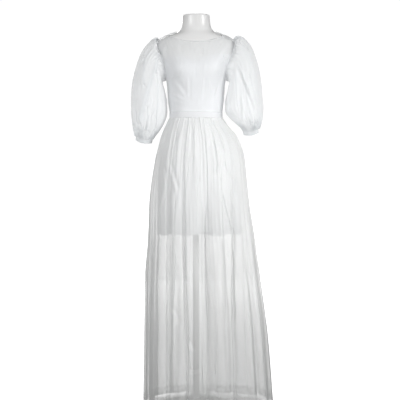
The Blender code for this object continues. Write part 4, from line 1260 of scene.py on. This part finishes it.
@dataclass
class PuffedSleeve:
    """A sheer sleeve gathered into its armhole and into a narrow cuff."""

    name: str
    side: int
    table: tuple[SleeveRow, ...]
    creases: tuple[Crease, ...]
    seed: int
    columns: int = 288
    rows: int = 130
    head_gathers: int = 34
    cuff_gathers: int = 42
    folds: int = 5
    fold_depth: float = 0.005
    gather_depth: float = 0.0036
    layer_gap: float = 0.0006
    cuff_height: float = 0.014
    cuff_thickness: float = 0.0014
    cuff_ripple: float = 0.0011
    front_dip: float = 0.009
    back_dip: float = 0.005

    def edges(self, row: SleeveRow) -> tuple[Array, Array]:
        """A ring's outer and inner edge."""
        outer = np.array([self.side * row.outer_x, row.y, row.outer_z])
        return outer, np.array([self.side * row.inner_x, row.y, row.inner_z])

    def rings(self) -> Array:
        """The armhole loop, then the table's rings.

        A ring is its middle plus cos(t) towards its outer edge plus sin(t) times its half depth to the
        front, moved out by five long folds. The armhole loop lies on the bodice: z is the armhole's middle
        plus half its height times cos(t), and it cuts in by its reach times |sin(t)|.
        """
        turn = whole_turn(self.columns)
        z = UNDERARM + ARMHOLE_HALF + ARMHOLE_HALF * np.cos(turn)
        reach = np.where(np.sin(turn) > 0, ARMHOLE_FRONT, -ARMHOLE_BACK) * np.abs(np.sin(turn))
        rings = [BODY.out(self.side * (math.pi / 2 - reach), z, BODY.organza_off(z) + 0.0003)]
        for number, row in enumerate(self.table, 1):
            outer, inner = self.edges(row)
            flat = np.cos(turn)[:, None] * (outer - inner) / 2
            flat = flat + np.sin(turn)[:, None] * np.array([0, -row.half_depth, 0])
            long_fold = self.fold_depth * math.sin(math.pi * number / (len(self.table) + 1)) ** 2
            swell = long_fold * np.cos(self.folds * turn + 0.8)
            rings.append((outer + inner) / 2 + flat + unit(flat) * swell[:, None])
        return np.array(rings)

    def facing_out(self, grid: Array) -> Array:
        """Rows that fall made to rise, with the columns turned to the left on both sleeves."""
        return grid[::-1] if self.side < 0 else grid[::-1, ::-1]

    def surface(self) -> Array:
        """The rings refined and gathered: fine pleats at the head and the cuff that fade into the puff."""
        grid = refined(self.rings(), self.rows)
        turn = whole_turn(self.columns)
        down = np.linspace(0, 1, self.rows)[:, None]
        grid[..., 2] -= self.dip(turn) * smoothstep(0.75, 1.0, down)
        on_top = 0.2 + 0.8 * smoothstep(0.30, 0.85, np.cos(turn))
        head = self.gather_depth * on_top * smoothstep(0, 0.05, down) * bell((down - 0.07) / 0.12)
        pleats = np.cos(self.head_gathers * turn + 1.6 * np.sin(3 * turn) + 3 * down)
        cuff = self.gather_depth * smoothstep(1.0, 0.96, down) * bell((down - 0.95) / 0.13)
        cuff = cuff + 0.0010 * smoothstep(0.9, 1, down)
        puckers = np.cos(self.cuff_gathers * turn + 1.2 * np.sin(4 * turn) - 5 * down)
        height = (head * pleats + cuff * puckers) * (1 + 0.5 * np.sin(5 * turn + 0.7))
        grid = self.facing_out(grid)
        return grid + grid_normals(grid, True) * self.facing_out(height)[..., None]

    def dip(self, turn: Array) -> Array:
        """How far the cuff hangs lower at its front and, less, at its back: its dip there times sin^2."""
        return np.where(np.sin(turn) > 0, self.front_dip, self.back_dip) * np.sin(turn) ** 2

    def build(self) -> None:
        """Makes the sleeve, the seam allowance at its head and its cuff."""
        grid = creased(self.surface(), self.creases, True)
        rough = crumpled(grid, 0.026, 0.0020, self.seed, True, stretch=3)
        grid = grid + (rough - grid) * inside(self.rows, 0.06)[:, None, None]
        piece = sheet_from(f"sleeve_{self.name}_organza", grid, closed=True)
        WARDROBE.dress(piece, SLEEVE_ORGANZA, [f"sleeve_{self.name}"])
        strip = grid[-7:] - grid_normals(grid, True)[-7:] * self.layer_gap
        allowance = sheet_from(f"sleeve_{self.name}_armhole_seam", strip, True)
        WARDROBE.dress(allowance, ORGANZA_DOUBLED)
        cuff = self.cuff()

    def cuff(self) -> Piece:
        """A doubled band along the last ring, hanging square to it, softly crowned."""
        row, turn = self.table[-1], whole_turn(self.columns)
        outer, inner = self.edges(row)
        across = (outer - inner) / 2
        down = np.cross(across, [0, 1.0, 0])
        down *= -np.sign(down[2]) / np.linalg.norm(down)
        flat = np.cos(turn)[:, None] * across - np.sin(turn)[:, None] * [0, row.half_depth, 0]
        rings = []
        for share in np.linspace(0, 1, 9):
            inward = 0.0012 * share - 0.0007 * math.sin(math.pi * share)
            phase = self.cuff_gathers * turn + 1.2 * np.sin(4 * turn) + 2 * share
            ripple = self.cuff_ripple * np.cos(phase)
            size = 1 - inward / row.half_depth + ripple[:, None] / row.half_depth
            hang = 0.0003 + self.cuff_height * share + self.dip(turn)[:, None]
            rings.append((outer + inner) / 2 + flat * size + down * hang)
        band = self.facing_out(np.array(rings))
        made = shell_from(f"cuff_{self.name}_band", band, self.cuff_thickness, closed=True)
        return WARDROBE.dress(made, ORGANZA_DOUBLED, [f"cuff_{self.name}"])


RIGHT_CREASES = (
    Crease(
        (-144, 1424, -160, 1330, -180, 1279, -195, 1228, -209, 1173, -222, 1110),
        6, 13, tuck=24, fade=(0.08, 0.1),
    ),
    Crease((-207, 1404, -207, 1287, -196, 1258), 5, 9, tuck=17, fade=(0.15, 0.2)),
    Crease(
        (-152, 1377, -148, 1279, -150, 1200, -156, 1122, -172, 1076), 6.5, 5.5, tuck=15, fade=(0.2, 0.15)
    ),
    Crease((-168, 1446, -196, 1400, -226, 1330), 6, 5),
    Crease((-240, 1190, -237, 1140, -226, 1092), 5.5, 5, tuck=12, fade=(0.3, 0.1)),
    Crease((-222, 1180, -216, 1130, -211, 1088), 5, 4.5, tuck=11, fade=(0.3, 0.1)),
    Crease((-190, 1210, -188, 1150, -196, 1092), 5.5, 4.5, tuck=12.5, fade=(0.3, 0.1)),
    Crease((-172, 1170, -176, 1120, -186, 1084), 5, 4, tuck=11, fade=(0.3, 0.1)),
    Crease((-140, 1458, -150, 1440, -158, 1418), 4.2, 3.4, tuck=9.5, fade=(0.1, 0.5)),
    Crease((-152, 1460, -163, 1442, -176, 1424), 4.2, 3.4, tuck=9.5, fade=(0.1, 0.5)),
    Crease((-150, 1430, -172, 1360, -190, 1270, -206, 1180), 6, 6, back=True, tuck=12),
    Crease((-222, 1380, -228, 1300, -222, 1200), 5.5, 5.5, back=True, tuck=11),
    Crease((-150, 1300, -166, 1220, -190, 1130), 6, 5, back=True),
)
LEFT_CREASES = (
    Crease((157, 1377, 219, 1220, 243, 1150), 6, -5),
    Crease((178, 1240, 184, 1180, 186, 1118), 5, -4.5),
    Crease((146, 1462, 152, 1440, 158, 1420), 4.2, 3.4, tuck=9.5, fade=(0.1, 0.5)),
    Crease((156, 1464, 163, 1442, 170, 1424), 4.2, 3.4, tuck=9.5, fade=(0.1, 0.5)),
    Crease((166, 1462, 176, 1442, 186, 1426), 4.2, 3.4, tuck=9.5, fade=(0.1, 0.5)),
    Crease((150, 1380, 156, 1300, 160, 1200, 170, 1150), 6, 5, tuck=13.5),
    Crease((200, 1440, 226, 1390, 242, 1310), 6, 5),
    Crease((206, 1330, 224, 1260, 244, 1190), 5.5, 4.5, tuck=12.5),
    Crease((252, 1220, 250, 1170, 238, 1118), 6, 5, tuck=13, fade=(0.3, 0.1)),
    Crease((210, 1200, 212, 1150, 216, 1112), 4.5, 4, tuck=8.5, fade=(0.3, 0.1)),
    Crease((160, 1420, 186, 1340, 212, 1240, 228, 1160), 6, 6, back=True, tuck=12),
    Crease((226, 1380, 244, 1290, 248, 1200), 5.5, 5.5, back=True, tuck=11),
    Crease((150, 1290, 172, 1210, 196, 1140), 6, 5, back=True),
)


# The zip


@dataclass
class ZipFastener:
    """A closed coil zip down the centre back: tape, coil, slider and a pull tab that swings."""

    tape_span: tuple[float, float] = (1.012, 1.468)
    coil_span: tuple[float, float] = (1.014, 1.464)
    tape_half: float = 0.0014
    tooth_pitch: float = 0.0022
    tooth_radius: float = 0.00045

    def line(self, z: Array, off: float) -> Array:
        """The zip's own line at each height: on the bodice, over the band, then down the skirt."""
        bodice = BODY.out(math.pi, z, BODY.organza_off(z) + off)
        band = BODY.out(math.pi, z, BAND_OFF + off)
        skirt_y = column(SKIRT_ROWS, "back", z) + column(SKIRT_ROWS, "gather", z) + off
        place = np.where((z > BAND_TOP)[:, None], bodice, band)
        return np.where((z < BAND_BOTTOM)[:, None], np.stack([0 * z, skirt_y, z], -1), place)

    def build(self) -> None:
        """Makes the tape and the coil, and gives the slider and the pull their finish."""
        line = self.line(np.linspace(*self.tape_span, 160), 0.0)
        tape = np.stack([line + [side * self.tape_half, 0, 0] for side in (1, 0, -1)], 1)
        WARDROBE.dress(shell_from("zip_tape", tape, 0.0006), BAND, ["zip_chain"])
        self.coil()
        for name in ("zip_slider", "zip_pull"):
            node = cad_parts[name]
            node.data.materials.clear()
            node.data.materials.append(NYLON.material())

    def coil(self) -> None:
        """Teeth that reach in from each side by turns: small rounded bars across the tape."""
        z = np.arange(*self.coil_span, self.tooth_pitch / 2)
        middle, turn = self.line(z, 0.0004)[:, None, None], whole_turn(6)
        side = np.where(np.arange(len(z)) % 2 == 0, 1.0, -1.0)[:, None, None]
        ends = np.array([-0.0004, -0.0002, 0.0009, 0.0011])[:, None]
        size = np.array([0.4, 1.0, 1.0, 0.4])[:, None] * self.tooth_radius
        y = middle[..., 1] + size * np.cos(turn)
        height = middle[..., 2] - size * np.sin(turn) * side
        points = np.stack([side * ends + 0 * y, y, height], -1)
        caps = np.array([[5, 4, 3, 2], [5, 2, 1, 0], [18, 19, 20, 21], [18, 21, 22, 23]])
        faces = np.concatenate([quads(4, 6, True), caps])[None] + np.arange(len(z))[:, None, None] * 24
        WARDROBE.dress(mesh_from("zip_coil", points, faces.reshape(-1, 4), sharp=50), NYLON)


# Camera, floor and light


@dataclass
class Studio:
    """A pale floor, white surroundings, soft light from the wearer's front left, and the camera."""

    aim: tuple[float, float, float] = (0.016, 0.0, 0.821)
    eye: tuple[float, float, float] = (0.016, -4.30, 0.860)
    lens: float = 96.75

    def build(self) -> None:
        """Makes the camera, the floor, the lights and the surroundings."""
        scene = bpy.context.scene
        scene.camera = self.aimed("camera", bpy.data.cameras.new("camera"), self.eye, self.aim)
        scene.camera.data.lens = self.lens
        scene.view_settings.view_transform = "Standard"
        scene.cycles.transparent_max_bounces = 40
        self.floor()
        self.world()
        self.light("key", (1.50, -1.30, 1.40), (0.0, -0.1, 0.98), 0.8, 4.1, 62)
        self.light("fill", (-1.30, -1.90, 1.35), (0.0, -0.1, 1.13), 0.9, 3.25, 62)
        self.light("back", (-0.70, 2.40, 2.00), (0.0, 0.0, 0.95), 1.4, 9.0, 90)

    def aimed(self, name: str, data: bpy.types.ID, place: tuple, target: tuple) -> Piece:
        """A camera or a lamp at a place, looking at a point."""
        made = bpy.data.objects.new(name, data)
        bpy.context.scene.collection.objects.link(made)
        made.location = place
        made.rotation_euler = (Vector(target) - Vector(place)).to_track_quat("-Z", "Y").to_euler()
        return made

    def floor(self) -> None:
        """A wide pale plane at z = 0 that glows, with a painted shadow that dims its glow under the gown,
        and brighter far from it.
        """
        points = np.array([[-6, -6, 0], [6, -6, 0], [6, 6, 0], [-6, 6, 0]], float)
        made = mesh_from("floor", points, np.array([[0, 1, 2, 3]]))
        paper = bpy.data.materials.new("floor_paper")
        book = NodeBook(paper)
        place = book.add("TexCoord").outputs["Object"]
        moved = book.add("Mapping", Vector=place, Location=(-0.19, 0, 0), Scale=(3.7, 3.3, 1))
        away = book.add("VectorMath", operation="LENGTH", Vector=moved.outputs[0]).outputs["Value"]
        # Painted shadow: the floor's glow is dimmed in a soft oval under the gown, where the gown would
        # shade it.
        painted_shadow = book.add("MapRange", Value=away, From_Min=0.80, From_Max=1.08, To_Min=0.30, To_Max=0.92)
        far = book.add("MapRange", Value=away, From_Min=2.5, From_Max=16.0, To_Min=0.0, To_Max=0.65)
        glow = book.math("ADD", painted_shadow.outputs[0], far.outputs[0])
        book.set(Base_Color=(0.9, 0.9, 0.9, 1), Roughness=0.9)
        book.set(Emission_Color=(1, 1, 1, 1), Emission_Strength=glow)
        made.data.materials.append(paper)
        made.visible_diffuse = made.visible_glossy = False

    def world(self) -> None:
        """A white backdrop, brighter low down, and a dimmer light from all round."""
        world = bpy.data.worlds.new("studio")
        bpy.context.scene.world = world
        book = NodeBook(world)
        up = book.add("SeparateXYZ", Vector=book.add("TexCoord").outputs["Generated"]).outputs[2]
        backdrop = book.add("MapRange", Value=up, From_Min=-0.04, From_Max=0.04, To_Min=1.52, To_Max=1.02)
        seen = book.add("LightPath").outputs["Is Camera Ray"]
        strength = book.add("MapRange", Value=seen, To_Min=0.27, To_Max=backdrop.outputs[0])
        book.set(Color=(1, 1, 1, 1), Strength=strength.outputs[0])

    def light(
        self, name: str, place: tuple, target: tuple, size: float, power: float, spread: float
    ) -> None:
        """A square soft light aimed at a point, whose beam is as wide as its spread in degrees."""
        lamp = bpy.data.lights.new(name, "AREA")
        lamp.size, lamp.energy, lamp.spread = size, power, math.radians(spread)
        self.aimed(name, lamp, place, target)


def main() -> None:
    """Builds the pieces in the order in which a maker would put them on the form."""
    logging.basicConfig(level=logging.INFO, format="%(message)s")
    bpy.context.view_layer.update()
    Studio().build()
    DressForm().build()
    StraplessLining().build()
    LiningSkirt().build()
    OrganzaBodice().build()
    Waistband().build()
    OrganzaSkirt().build()
    PuffedSleeve("right", -1, RIGHT_SLEEVE, RIGHT_CREASES, seed=5).build()
    PuffedSleeve("left", 1, LEFT_SLEEVE, LEFT_CREASES, seed=8).build()
    ZipFastener().build()


if __name__ == "__main__":
    main()
